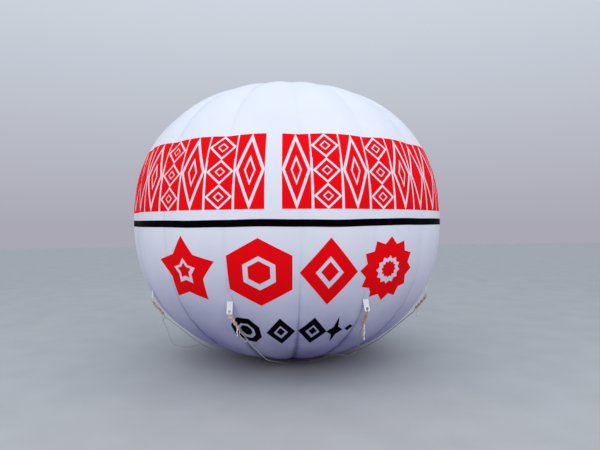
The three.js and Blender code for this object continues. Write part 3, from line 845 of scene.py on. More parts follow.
def evenly(path, step):
    # Points at even distances along the path, and its length
    along = runLengths(path)
    count = max(2, int(round(along[-1] / step)) + 1)
    at = np.linspace(0, along[-1], count)
    return np.stack([np.interp(at, along, path[:, k]) for k in range(3)], -1), float(along[-1])


def hingeOf(number):
    # Middle of a strap's hinge line, as packed
    return np.array(joints[f"strap_swing_{number}"]["pos_m"], float)


def toWorld(number, x, y, z):
    # A strap's own frame: x sideways, y inward and z up from the middle of its hinge line
    _, sideways, outward = axesOf(number)
    x, y, z = (np.asarray(value, float)[..., None] for value in np.broadcast_arrays(x, y, z))
    return hingeOf(number) + x * sideways - y * outward + z * np.array([0, 0, 1.0])


def knotsLine(number):
    # Start, direction and end of the row of knots in the strap's frame, and the way the rope leaves them
    tether = tetherAt(number)
    veer = math.radians(tether["side"] * ropeRoutes[tether["route"]]["veer"])
    slope = math.radians(knotLook["lean"])
    start = np.array([tether["lean"] * knotLook["eyelet"], 0, -knotLook["eyelet"] - knotLook["loopEnd"]])
    down = np.array([math.sin(veer), math.cos(veer) * math.sin(slope), -math.cos(veer) * math.cos(slope)])
    end = start + down * knotLook["count"] * knotLook["pitch"]
    leave = end * [0, 1, 1] / math.hypot(end[1], end[2])
    return start, down, end, leave


def onRoute(number, side, stations):
    # Distance from the axis, sideways offset and height, turned to the strap's azimuth
    _, sideways, outward = axesOf(number)
    stations = np.asarray(stations, float)
    points = stations[:, :1] * outward + side * stations[:, 1:2] * sideways
    points[:, 2] = stations[:, 2]
    return points


def ropePath(number):
    # Out of the whipping, down its route, and square up to the ring's rod
    route, side = tetherAt(number)["route"], tetherAt(number)["side"]
    _, _, end, leave = knotsLine(number)
    runs = knotLook["whipping"] + np.array([ropeLook["gap"], ropeLook["lead"]])
    lead = toWorld(number, *(end + runs[:, None] * leave).T)
    ringEdge = ropeLook["ringRadius"] + ringFlat + ropeLook["gap"]
    ground = ropeLook["diameter"] / 2 + ropeLook["gap"]
    middle = onRoute(number, side, np.array(ropeRoutes[route]["points"], float) / 1000)
    atRing = onRoute(number, side, [[ringEdge + ropeLook["ringLead"], 0, ground], [ringEdge, 0, ground]])
    return routeCurve(np.concatenate([lead, middle, atRing]))


def bightPath(number):
    # Both ends stand square on the rope, on the side away from the hull
    rope = evenly(ropePath(number), 0.001)[0]
    away = np.cross(np.gradient(rope, axis=0), axesOf(number)[1])
    away *= -np.sign(away[:, 2:]) / np.linalg.norm(away, axis=1, keepdims=True)
    tied = [int(round(bights[number][key] * (len(rope) - 1))) for key in ("from", "to")]
    near = ropeLook["diameter"] / 2 + ropeLook["gap"]
    start, end = ([rope[at] + away[at] * near, rope[at] + away[at] * ropeLook["bightLead"]] for at in tied)
    middle = onRoute(number, 1, np.array(bights[number]["points"], float) / 1000)
    return routeCurve(np.concatenate([start, middle, end[::-1]]))


def addRing():
    # A round rod carried round a circle that lies on the ground
    angle = fullTurn(96)
    path = np.stack([np.cos(angle), np.sin(angle), 0 * angle], -1) * ropeLook["ringRadius"] + [0, 0, ringFlat]
    ring = makeMesh("tetherRing", [tube(path, ringFlat, [0, 0, 1], 20, "loop")], steels["platedSteel"])
    settle(ring, "envelope", "tether_ring")
    return ring


tetherRing = addRing()


def ropeTube(number, path):
    # Thinner than the rope by what its strands stand out
    radius = ropeLook["diameter"] / 2 / ropeLook["laidShare"]
    return tube(path, radius, axesOf(number)[1], 12, "fan", strandTwist)


def addLine(number, name, node, path):
    # A rope or a bight, as one still piece
    cord = cords["darkCord" if number in tethers["darkRopes"] else "paleCord"]
    line = makeMesh(name, [ropeTube(number, path)], cord)
    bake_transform(line)
    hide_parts(node)
    return line


def addRope(number):
    path, length = evenly(ropePath(number), ropeLook["step"])
    rope = addLine(number, f"tetherRope{number}", f"rope_{number}", path)
    if number in bights:
        slackPath, slackLength = evenly(bightPath(number), ropeLook["step"])
        slack = addLine(number, f"slackBight{number}", f"rope_bight_{number}", slackPath)
    return length


ropeLengths = [addRope(number) for number in tetherNumbers]
print("ropes laid, lengths", [round(length, 3) for length in ropeLengths])


# Gores of film
goreLook = {
    "rows": 220,
    "halfColumns": 11,
    "innerColumns": 3,
    "spread": 1.5,  # above 1 the columns crowd toward the seams
    "seamLine": 0.0070,  # half width of a weld's darker line
    "seamShadowWidening": 0.022,  # what it gains toward the bottom, where the hull draws in: painted shadow in the seam valley
    "low": (-0.50, -0.92),  # zone, as in relief
}
lapOffsets = np.array([-1, -0.5, 0, 0.5, 1]) * lap["halfWidth"]


def goreOffsets(halfWidth):
    # Arcs from the left seam: even under the lap, then widening to the middle, and back to the lap's foot
    share = (np.arange(1, goreLook["halfColumns"] + 1) / goreLook["halfColumns"]) ** goreLook["spread"]
    under = np.broadcast_to(lapOffsets, (len(halfWidth), len(lapOffsets)))
    left = lap["halfWidth"] + (halfWidth - lap["halfWidth"]) * share
    rampStart = lap["halfWidth"] + lap["ramp"]
    right = 2 * halfWidth - (rampStart + (halfWidth - rampStart) * share[:-1][::-1])
    return np.concatenate([under, left, right, 2 * halfWidth - rampStart], 1)


def addGore(index):
    # Round each row: the outer skin from seam to seam, the lap over the next gore, and the inner skin back
    tip = outline(angleAtRadius(hull["tipRadius"]))
    steepest = math.atan2(tip[1] - centreHeight, tip[0])
    t = angleAtElevation(np.linspace(-steepest, steepest, goreLook["rows"] + 1))[:, None]
    r = outline(t)[0]
    seam, nextSeam = index * gorePitch, (index + 1) * gorePitch
    outerOffsets = goreOffsets(gorePitch * r / 2)
    outer = skin(t, seam + outerOffsets / r)
    lapTop = skin(t, nextSeam + lapOffsets / r, lap["height"])
    lapUnder = skin(t, nextSeam + lapOffsets[::-1] / r, lap["lift"])
    innerEnd = nextSeam - (lap["halfWidth"] + lap["gap"]) / r
    lapUnder[:, -1] = skin(t, innerEnd, lap["lift"])[:, 0]
    foot = skin(t, innerEnd)
    innerStart = seam - lap["halfWidth"] / r
    share = np.linspace(1, 0, goreLook["innerColumns"])
    inner = skin(t, innerStart + (innerEnd - innerStart) * share, -hull["filmThickness"])
    rings = np.concatenate([outer, lapTop, lapUnder, foot, inner], 1)
    up = np.broadcast_to(outline(t)[5], r.shape)
    # the line widens toward the bottom as painted shadow in the drawn-in seam valley
    line = goreLook["seamLine"] + goreLook["seamShadowWidening"] * smooth(*goreLook["low"], up)
    outerAway = np.minimum(outerOffsets, gorePitch * r - outerOffsets)
    band = np.zeros(rings.shape[:2])
    lapFrom = outer.shape[1]
    band[:, :lapFrom] = np.exp(-((outerAway / line) ** 2))
    band[:, lapFrom:lapFrom + len(lapOffsets)] = np.exp(-((lapOffsets / line) ** 2))
    arcs, wide = arcAt(t[:, 0]), gorePitch * r[:, 0]
    surface = ringsData(rings, "ngon", arcs)
    gore = makeMesh(f"gore{index + 1:02d}", [surface], whiteFilm, 30, {"seamBand": band})
    settle(gore, "envelope", f"gore_{index + 1:02d}")


for goreIndex in range(hull["gores"]):
    addGore(goreIndex)
print("gores made")


# Discs over the gores' tips
discLook = {
    "hub": 0.004,
    "dome": (0.19, 24),  # its radius and rings
    "rim": [0.196, 0.199, 0.202, 0.206, 0.2085, 0.2096, 0.210],
    "pressedRing": (0.199, 0.0007, 0.0022),  # radius, depth, width
    "roundFrom": 0.2085,
    "roundSlope": 0.5,
    "plug": 0.167,
    "lift": 0.0026,
    "thickness": 0.0015,
    "weldFrom": 0.186,
    "segments": 144,
}


def addDisc(name, node, up):
    # A shallow dome that follows the outline, with a rounded rim and a pressed ring near it
    lift, hub, plug, segments = (discLook[key] for key in ("lift", "hub", "plug", "segments"))
    domeRadius, domeRings = discLook["dome"]
    radii = np.concatenate([np.linspace(hub, domeRadius, domeRings), discLook["rim"]])
    level = outline(up * angleAtRadius(radii))[1]
    pressRadius, pressDepth, pressWidth = discLook["pressedRing"]
    press = -pressDepth * np.exp(-(((radii - pressRadius) / pressWidth) ** 2))
    drop = np.maximum(radii - discLook["roundFrom"], 0) * discLook["roundSlope"]
    top = np.stack([radii, level + up * (lift + discLook["thickness"] + press - drop)], -1)
    plugLevel, inside = outline(up * angleAtRadius(plug))[1], up * hull["filmThickness"]
    under = [
        [radii[-1], level[-1] + up * lift], [plug, plugLevel + up * lift],
        [plug, plugLevel - inside], [hub, level[0] - inside],
    ]
    profile = np.concatenate([top, under])
    rings = turnedRings(profile, [0, 0, 0], [0, 0, 1], segments)
    band = np.concatenate([np.repeat((profile[:, 0] > discLook["weldFrom"]) * 1.0, segments), [0, 0]])
    disc = makeMesh(name, [ringsData(rings, "fan")], whiteFilm, 40, {"seamBand": band})
    settle(disc, "envelope", node)


addDisc("crownDisc", "crown_disc", 1)
addDisc("baseDisc", "base_disc", -1)
print("discs made")


# Printed figures: plain ornaments, each a band between two outlines that are walked together
def walk(corners, count):
    # Corner points joined by straight runs, each run split into an even count
    share = np.linspace(0, 1, count, endpoint=False)[None, :, None]
    return (corners[:, None] * (1 - share) + np.roll(corners, -1, 0)[:, None] * share).reshape(-1, 2)


def starCorners(points, inner):
    # Corners that step between the full radius and the inner one
    angle = math.pi / 2 + np.arange(2 * points) * math.pi / points
    reach = np.where(np.arange(2 * points) % 2 == 0, 1.0, inner)
    return np.stack([np.cos(angle) * reach, np.sin(angle) * reach], -1)


def polygonCorners(sides, turn=0.0):
    # Corners at even angles on a circle of radius 1, the first one at the top
    angle = math.pi / 2 + turn + np.arange(sides) * 2 * math.pi / sides
    return np.stack([np.cos(angle), np.sin(angle)], -1)


printLook = {
    "top": 0.0013,
    "under": 0.0002,
    "step": 0.024,
    "pin": 0.02,  # a solid figure closes on this share of itself, and a fan fills that
}
diamond = [(0, 1), (-1, 0), (0, -1), (1, 0)]


def figure(azimuth, low, high, width, corners, hole=None):
    # A band between an outline and the same outline drawn in to hole's share; None makes it solid
    corners = np.asarray(corners, float)
    arcLow, arcHigh = arcAt(angleAtHeight(low)), arcAt(angleAtHeight(high))
    arc, half = (arcLow + arcHigh) / 2, np.array([width / 2, (arcHigh - arcLow) / 2])
    middle = corners.mean(0)
    outerCorners = corners * half
    innerCorners = (middle + (corners - middle) * (hole or printLook["pin"])) * half
    longest = np.linalg.norm(np.roll(outerCorners, -1, 0) - outerCorners, axis=1).max()
    count = max(2, int(math.ceil(longest / printLook["step"])))
    outer, inner = walk(outerCorners, count), walk(innerCorners, count)
    reach = np.linalg.norm(outer - inner, axis=1).max()
    steps = max(2, int(math.ceil(reach / printLook["step"])))
    faces = []
    for rows, lift in ((steps + 1, printLook["top"]), (steps // 3 + 2, printLook["under"])):
        level = np.linspace(0, 1, rows)[:, None, None]
        flat = inner * (1 - level) + outer * level
        faces.append(onHull(math.radians(azimuth), arc, flat[..., 0], flat[..., 1], lift))
    return ringsData(np.concatenate([faces[0], faces[1][::-1]]), "loop" if hole else "fan")


upperPrint = {
    "low": 1.70,
    "high": 2.383,
    "groups": [(-5.4, 8.9, 8), (-9.6, -9.4, 7)],  # first edge, pitch and number of the tiles, in degrees
    "hullRadius": 1.762,  # at the band, for the tiles' width
    "full": 5,  # tiles of each group that have a heart; the ones past them are plainer
    "margin": 0.022,  # bare film between two tiles
    "inner": 0.80,  # the diamond's share of its tile
    "heart": (0.50, 0.34),
    "cornerTip": 0.02,  # how near the corner pieces come to the tile's middle lines
}
# azimuth, growth up and down, width, outline, and the shares of its hole and of its heart
lowerPrint = {
    "low": 0.84,
    "high": 1.45,
    "figures": [
        (-36.8, 0.02, 0.72, starCorners(5, 0.60), (0.40, 0.24)),
        (-11.9, 0, 0.68, polygonCorners(6), (0.50, 0.34)),
        (8.7, 0, 0.54, diamond, (0.48, 0.30)),
        (28.9, 0, 0.64, starCorners(12, 0.80), (0.44, 0.27)),
    ],
}
smallPrint = {
    "low": 0.42,
    "high": 0.71,
    "figures": [
        (-19.5, 0, 0.30, polygonCorners(8, math.pi / 8), (0.60, 0.40)),
        (-6.4, 0, 0.27, diamond, (0.50, 0.30)),
        (5.4, 0, 0.27, diamond, (0.50, 0.30)),
        (14.0, 0, 0.17, starCorners(4, 0.40), None),
        (20.0, -0.11, 0.10, diamond, None),
    ],
}


def nested(azimuth, low, high, width, corners, inner):
    # A thick band, a white line and a solid heart, all of one outline
    middle, half = (low + high) / 2, (high - low) / 2 * inner[1]
    return [
        figure(azimuth, low, high, width, corners, inner[0]),
        figure(azimuth, middle - half, middle + half, width * inner[1], corners),
    ]


def tile(azimuth, low, high, width, stacked, full):
    # Nested diamonds one above another, and the four corner pieces that frame each of them
    parts = []
    rise, tip = (high - low) / stacked, upperPrint["cornerTip"]
    inset, narrow = (1 - upperPrint["inner"]) / 2 * rise, width * upperPrint["inner"]
    for k in range(stacked):
        foot, head = low + k * rise, low + (k + 1) * rise
        if full:
            parts += nested(azimuth, foot + inset, head - inset, narrow, diamond, upperPrint["heart"])
        else:
            parts.append(figure(azimuth, foot + inset, head - inset, narrow, diamond))
        for x, y in ((-1, 1), (-1, -1), (1, -1), (1, 1)):
            corner = [(x, y), (x, tip * y), (tip * x, y)]
            parts.append(figure(azimuth, foot, head, width, corner if x * y < 0 else corner[::-1]))
    return parts


def upperFigures(turn):
    # Two rows of tiles, one tall diamond and three small ones by turns, then plain tall ones
    parts = []
    for firstEdge, pitch, count in upperPrint["groups"]:
        width = abs(math.radians(pitch)) * upperPrint["hullRadius"] - upperPrint["margin"]
        for k in range(count):
            full, azimuth = k < upperPrint["full"], firstEdge + turn + (k + 0.5) * pitch
            stacked = 3 if full and k % 2 else 1
            parts += tile(azimuth, upperPrint["low"], upperPrint["high"], width, stacked, full)
    return parts


def rowFigures(look, turn):
    # A row of single ornaments, with a heart or solid
    parts = []
    for azimuth, grow, width, corners, shares in look["figures"]:
        place = azimuth + turn, look["low"] - grow, look["high"] + grow, width, corners
        parts += nested(*place, shares) if shares else [figure(*place)]
    return parts


def addPrint(name, parts, ink):
    # Ink that lies on the hull, as one piece
    settle(makeMesh(name, parts, inks[ink], 50), "envelope")


for face, turn in (("Front", 0), ("Back", 180)):
    addPrint(f"upperPrint{face}", upperFigures(turn), "redInk")
    addPrint(f"lowerPrint{face}", rowFigures(lowerPrint, turn), "redInk")
    addPrint(f"smallPrint{face}", rowFigures(smallPrint, turn), "blackInk")

stripeLook = {
    "middle": 1.5825,
    "height": 0.065,
    "wander": 0.0055,
    "bowTurn": 2.3,  # how unlike two neighbouring gores' bows are
    "drift": (0.55, -1),  # the stripe's slow rise and fall twice round the hull
    "columns": 1024,
    "levels": 5,
}


def addStripe():
    # Each gore was printed flat, so the stripe bows a little across it and steps at the seams
    azimuth = fullTurn(stripeLook["columns"])
    turn = azimuth / gorePitch
    gore = np.floor(turn)
    bow = -np.sin(math.pi * (turn - gore)) ** 2 * np.cos(stripeLook["bowTurn"] * gore)
    drift = stripeLook["drift"][0] * np.sin(2 * azimuth) + stripeLook["drift"][1] * np.cos(2 * azimuth)
    arcs = np.linspace(-0.5, 0.5, stripeLook["levels"])[:, None] * stripeLook["height"]
    arcs = arcAt(angleAtHeight(stripeLook["middle"])) + arcs + stripeLook["wander"] * (bow + drift)
    top, under = (skin(angleAtArc(arcs), azimuth, printLook[side], laps=True) for side in ("top", "under"))
    surface = ringsData(np.concatenate([top, under[::-1]]), "loop")
    addPrint("equatorStripe", [surface], "blackInk")


addStripe()
print("prints laid on")


# Straps with their patches and eyelets
strapLook = {
    "width": 0.060,
    "length": 0.118,
    "thickness": 0.003,
    "corner": 0.012,
    "eyeletFromEnd": 0.025,
    "holeRadius": 0.008,
    "rings": [0, 0.06, 0.16, 0.30, 0.46, 0.62, 0.76, 0.86, 0.91, 0.95, 0.985, 1.0],  # shares from the hole
    "hem": (0.16, 0.006, 0.0016),  # share that it thickens, distance from the edge, width
    "edge": (0.0012, 0.55),  # the last of the edge is drawn in to this share
    "wave": (0.0009, 55),  # height, and turns down the strap in radians a metre
    "curl": 0.0016,
    "waveFrom": 0.02,  # below the hinge line
    "clothLength": 0.24,  # of the weave, from the hole round the edge and back
}
eyeletLook = {
    "radius": 0.0108,
    "rim": 0.0034,
    "halfHeight": 0.0024,
    "squareness": 0.6,  # below 1 the rim's section is boxier
    "offset": 0.0004,
}
patchLook = {
    "rise": 0.080,
    "lift": 0.0032,
    "thickness": 0.0025,
    "corner": 0.016,
    "rounding": (0.0012, 0.003),  # depth and reach, of the rim's upper side
    "weld": (0.0005, 0.006, 0.0015),  # depth, distance from the rim, width
    "seat": (0.0022, 0.004),  # depth and reach, where the rim's under side turns down to the hull
}


def strapOutline(count=96):
    # A rectangle with two round lower corners, walked from its upper left corner at even steps
    half, corner, length = strapLook["width"] / 2, strapLook["corner"], strapLook["length"]
    turn = np.linspace(0, math.pi / 2, 9)
    left = np.stack([-half + corner - corner * np.cos(turn), -length + corner - corner * np.sin(turn)], -1)
    right = left[::-1] * [-1, 1]
    closed = np.concatenate([[[-half, 0]], left, right, [[half, 0]], [[-half, 0]]])
    along = runLengths(closed)
    at = np.linspace(0, along[-1], count, endpoint=False)
    return np.stack([np.interp(at, along, closed[:, k]) for k in range(2)], -1)


def strapPart(number):
    # A band from the eyelet hole to the outline; thickness swells at the welded hem and thins inside it
    eyelet = np.array([0, strapLook["eyeletFromEnd"] - strapLook["length"]])
    outer = strapOutline()
    angle = np.unwrap(np.arctan2(outer[:, 1] - eyelet[1], outer[:, 0] - eyelet[0]))
    hole = eyelet + strapLook["holeRadius"] * np.stack([np.cos(angle), np.sin(angle)], -1)
    share = np.array(strapLook["rings"])[:, None, None]
    flat = hole * (1 - share) + outer * share
    edgeGap = (1 - share[..., 0]) * np.linalg.norm(outer - hole, axis=1)
    half, (swell, hemAt, hemWidth) = strapLook["thickness"] / 2, strapLook["hem"]
    size = half * (1 - swell + swell * np.exp(-(((edgeGap - hemAt) / hemWidth) ** 2)))
    edge, edgeShare = strapLook["edge"]
    size = np.where(edgeGap < edge, half * edgeShare, size)
    height, turns = strapLook["wave"]
    free, down = strapLook["waveFrom"], flat[..., 1]
    wave = height * np.sin(turns * down + number) * smooth(0, -free, down)
    curl = strapLook["curl"] * (flat[..., 0] / (strapLook["width"] / 2)) ** 2
    bend = wave + curl * smooth(-free, -strapLook["length"], down)
    across = flat[..., 0] - tetherAt(number)["lean"] * down  # the strap leans sideways
    front, back = (toWorld(number, across, bend + side * size, down) for side in (-1, 1))
    cloth = np.linspace(0, strapLook["clothLength"], 2 * len(share))
    return ringsData(np.concatenate([front, back[::-1]]), "loop", cloth)


def eyeletPart(number):
    # A rolled rim on each face and the barrel between them, as one turned section
    turn = fullTurn(20)
    radius = eyeletLook["radius"] + eyeletLook["rim"] * np.cos(turn)
    rise = np.sign(np.sin(turn)) * np.abs(np.sin(turn)) ** eyeletLook["squareness"]
    section = np.stack([radius, eyeletLook["halfHeight"] * rise], -1)
    sideways = tetherAt(number)["lean"] * knotLook["eyelet"]
    centre, inner = toWorld(number, sideways, [eyeletLook["offset"], 1.0], -knotLook["eyelet"])
    return ringsData(turnedRings(section, centre, inner - centre, 40), "loop")


def patchPart(number):
    # A doubled pad folded over the seam, rounded at its upper corners and rim
    azimuth = axesOf(number)[0]
    foot = arcAt(angleAtHeight(tethers["patchFoot"]))
    head = arcAt(angleAtHeight(tethers["patchFoot"] + patchLook["rise"]))
    rows = foot + (head - foot) * np.linspace(0, 1, 25)
    left, corner = head - rows, patchLook["corner"]
    shrink = np.where(left < corner, corner - np.sqrt(np.maximum(corner**2 - (corner - left) ** 2, 0)), 0)
    half = strapLook["width"] / 2 - shrink
    x = half[:, None] * np.linspace(-1, 1, 21)
    r = np.interp(rows, meridianArc, meridianR)[:, None]
    t = angleAtArc(rows)[:, None]
    rim = np.minimum(half[:, None] - np.abs(x), left[:, None])
    (depth, reach), (weldDepth, weldAt, weldWidth) = patchLook["rounding"], patchLook["weld"]
    weld = weldDepth * np.exp(-(((rim - weldAt) / weldWidth) ** 2))
    top = patchLook["lift"] + patchLook["thickness"] - depth * (1 - smooth(0, reach, rim)) - weld
    depth, reach = patchLook["seat"]
    under = patchLook["lift"] - depth * (1 - smooth(0, reach, rim))
    outer = skin(t, azimuth + x / r, top)
    inner = skin(t, azimuth + x[:, ::-1] / r, under[:, ::-1])
    return ringsData(np.concatenate([outer, inner], 1), "ngon", rows)


def addStrap(number):
    hanging = f"hanging_strap_{number}"
    patch = makeMesh(f"strapPatch{number}", [patchPart(number)], whiteFilm, 40)
    settle(patch, "envelope", f"strap_patch_{number}")
    strap = makeMesh(f"strap{number}", [strapPart(number)], strapFilm, 40)
    settle(strap, hanging, f"strap_{number}")
    eyelet = makeMesh(f"eyelet{number}", [eyeletPart(number)], steels["dullSteel"], 50)
    settle(eyelet, hanging)


for strapNumber in tetherNumbers:
    addStrap(strapNumber)
print("straps hung")


# Knotted rope ends. The odd numbers in them only make each knot unlike the next one.
def lineWorld(number, first, second, run):
    # Across the row of knots by first (sideways) and second, and down it by run
    start, down, _, _ = knotsLine(number)
    across = unit(np.array([1.0, 0, 0]) - down[0] * down)
    other = np.cross(down, across)
    spread = np.broadcast_arrays(first, second, run)
    first, second, run = (np.asarray(value, float)[..., None] for value in spread)
    return toWorld(number, *np.moveaxis(start + first * across + second * other + run * down, -1, 0))


def roundLine(number, radius, lay, run):
    # A helix or a spiral about the row of knots
    return lineWorld(number, radius * np.cos(lay), radius * np.sin(lay), run)


def strandTube(path, radius, reference, twist=strandTwist):
    # A shorter run of rope, with fewer sides
    return tube(path, radius, reference, 10, "fan", twist)


def knotParts(number):
    # The loop through the eyelet, two strands laid round each other, the knots on them and the whipping
    rope = ropeLook["diameter"] / 2 * ropeLook["knottedShare"]
    start, down, end, leave = knotsLine(number)
    sideways, downWorld, axis = (
        toWorld(number, *direction) - hingeOf(number) for direction in ((1.0, 0, 0), down, leave)
    )
    # the loop is an ellipse
    turn, (depth, height) = fullTurn(56), knotLook["loopSize"]
    rise = start[2] + knotLook["loopRise"] + height * np.sin(turn)
    loopPath = toWorld(number, start[0], depth * np.cos(turn), rise)
    parts = [tube(loopPath, rope, sideways, 10, "loop", strandTwist)]
    # the two strands are drawn in under the whipping
    length = knotLook["count"] * knotLook["pitch"]
    run = np.linspace(-0.003, length, 120)
    freed = smooth(length, length - knotLook["coreTaper"], run)
    for phase in (0, math.pi):
        lay = phase + 2 * math.pi * run / knotLook["corePitch"]
        strand = roundLine(number, knotLook["coreRadius"] * (0.15 + 0.85 * freed), lay, run)
        parts.append(strandTube(strand, rope * (0.7 + 0.3 * freed), sideways))
    # each knot is a few turns of the rope round both strands, its ends tucked in, with a bight across it
    uneven, unevenRise = knotLook["wrapUneven"]
    for k in range(knotLook["count"]):
        centre = (k + knotLook["firstAt"]) * knotLook["pitch"]
        s = np.linspace(-0.5, 0.5, 84)
        tuck = 1 - 0.5 * smooth(0.40, 0.5, np.abs(s))
        lay = 2 * math.pi * knotLook["turns"] * s + 1.7 * k + number
        radius = knotLook["wrapRadius"] * tuck * (1 + uneven * np.sin(3 * lay + k))
        run = centre + s * knotLook["turns"] * knotLook["wrapRise"] + unevenRise * np.sin(lay + k)
        parts.append(strandTube(roundLine(number, radius, lay, run), rope, downWorld))
        s = np.linspace(0, 1, 36)
        lay = 2.1 * k + 0.7 * number + 1.9 * s
        radius = (knotLook["wrapRadius"] + knotLook["overProud"]) * (0.55 + 0.45 * np.sin(math.pi * s))
        over = roundLine(number, radius, lay, centre + knotLook["overLength"] * (s - 0.5))
        parts.append(strandTube(over, rope * knotLook["overShare"], downWorld))
    # the whipping is fine twine wound on the last of it
    s = np.linspace(0, 1, 90)
    lay = 2 * math.pi * knotLook["twineTurns"] * s
    side = np.cross(axis, sideways)
    at = toWorld(number, *end) + (2 * s - 1)[:, None] * axis * (knotLook["whipping"] - 0.0010)
    around = np.cos(lay)[:, None] * sideways + np.sin(lay)[:, None] * side
    parts.append(tube(at + knotLook["twineRadius"] * around, knotLook["twine"], axis, 6, "fan"))
    core = toWorld(number, *end) + np.linspace(-1.4, 1, 8)[:, None] * axis * knotLook["whipping"]
    parts.append(tube(core, rope, sideways, 12, "fan"))
    return parts


tailLook = {
    "pitch": 0.058,  # of the two strands
    "step": 0.002,
    "from": (0.00810, 0.00675),  # in from the last knot's middle, and below it
    "waves": ((0.0022, 5.2), (0.0018, 6.4)),  # height and turn, sideways and inward
    "mateEnd": 0.86,  # the second strand stops at this share
    "mateReach": 0.0076,
    "longTail": 0.1,  # past this length a tail has three thumb knots
    "knotTurns": 1.6,
    "knotRadius": 0.0060,
    "knotLength": 0.0125,
    "knotUneven": 0.0018,
}


def tailPath(number):
    # Straight down out of the side of the last knot, with a slow wave
    start, down, _, _ = knotsLine(number)
    last = start + down * (knotLook["count"] - 1 + knotLook["firstAt"]) * knotLook["pitch"]
    s = np.linspace(0, 1, 60)
    (acrossWave, acrossTurn), (inWave, inTurn) = tailLook["waves"]
    x = last[0] + acrossWave * np.sin(acrossTurn * s + number) * s
    y = last[1] - tailLook["from"][0] + inWave * np.sin(inTurn * s + 2 * number) * s
    z = last[2] - tailLook["from"][1] - (tetherAt(number)["tail"] + 0.004) * s
    return evenly(toWorld(number, x, y, z), tailLook["step"])


def tailMatePart(number, path):
    # The rope's other end, wound loosely round the tail and stopping short of its foot
    _, sideways, outward = axesOf(number)
    along = np.linspace(0, 1, len(path))
    lay = 2 * math.pi * along * len(path) * tailLook["step"] / tailLook["pitch"] + number
    opened = 1 + 0.35 * smooth(0.6, tailLook["mateEnd"], along)
    reach = tailLook["mateReach"] * (0.35 + 0.65 * smooth(0, 0.15, along)) * opened
    mate = path + reach[:, None] * (np.cos(lay)[:, None] * sideways + np.sin(lay)[:, None] * outward)
    radius = ropeLook["diameter"] / 2 * ropeLook["knottedShare"]
    return strandTube(mate[along < tailLook["mateEnd"]], radius, sideways)


def tailKnotPart(number, foot):
    # A thumb knot: one turn and a half of the rope round itself
    s = np.linspace(0, 1, 64)
    lay = 2 * math.pi * tailLook["knotTurns"] * s + number
    radius = tailLook["knotRadius"] * (1 - 0.6 * smooth(0.85, 1.0, s)) * (0.4 + 0.6 * smooth(0, 0.12, s))
    drop = tailLook["knotUneven"] * np.sin(2 * lay) - tailLook["knotLength"] * s - 0.0005
    path = foot + np.stack([radius * np.cos(lay), radius * np.sin(lay), drop], -1)
    return strandTube(path, ropeLook["diameter"] / 2 * ropeLook["knottedShare"], [0, 0, 1], None)


def addKnots(number):
    hanging = f"hanging_strap_{number}"
    cord = cords["darkTanCord" if number in tethers["darkRopes"] else "tanCord"]
    knots = makeMesh(f"ropeKnots{number}", knotParts(number), cord, 60)
    settle(knots, hanging, f"rope_knots_{number}")
    path, length = tailPath(number)
    tail = makeMesh(f"ropeTail{number}", [ropeTube(number, path)], cords["pinkCord"], 60)
    settle(tail, hanging)
    foot = len(path) - 1
    count = 3 if tetherAt(number)["tail"] > tailLook["longTail"] else 1
    knotted = path[[foot, foot * 5 // 8, foot // 4]][:count]
    parts = [tailKnotPart(number + k, place) for k, place in enumerate(knotted)]
    tailKnot = makeMesh(f"tailKnot{number}", parts + [tailMatePart(number, path)], cords["pinkCord"], 60)
    settle(tailKnot, hanging)


for knotNumber in tetherNumbers:
    addKnots(knotNumber)
print("knots tied")


# Filler neck, tied shut, at the back
neckLook = {
    "tube": 0.050,
    "throat": 0.0125,
    "throatAt": 0.118,
    "length": 0.200,
    "mouth": 0.040,
    "mouthInside": ((0.86, -0.004), (0.25, -0.045)),  # share of the mouth's radius, and depth
    "flange": 0.012,
    "pleats": 11,
    "pleatDepth": 0.17,
    "pleatSlant": 36,
    "segments": 132,
    "tieTurns": 4,
    "tieCord": 0.0017,
    "tieWidth": 0.011,
    "tieRadius": 0.0168,
}


def neckPlace():
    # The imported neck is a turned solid, so its long axis is the widest spread of its corners
    mesh = frame["nodes"]["filler_neck"].data
    corners = np.empty(len(mesh.vertices) * 3, np.float32)
    mesh.vertices.foreach_get("co", corners)
    corners = np.unique(np.round(corners.reshape(-1, 3).astype(float), 5), axis=0)
    middle = corners.mean(0)
    spread = np.linalg.eigh(np.cov((corners - middle).T))[1][:, -1]
    outward = spread if spread[:2] @ middle[:2] > 0 else -spread
    base = middle + outward * ((corners - middle) @ outward).min()
    return base, outward


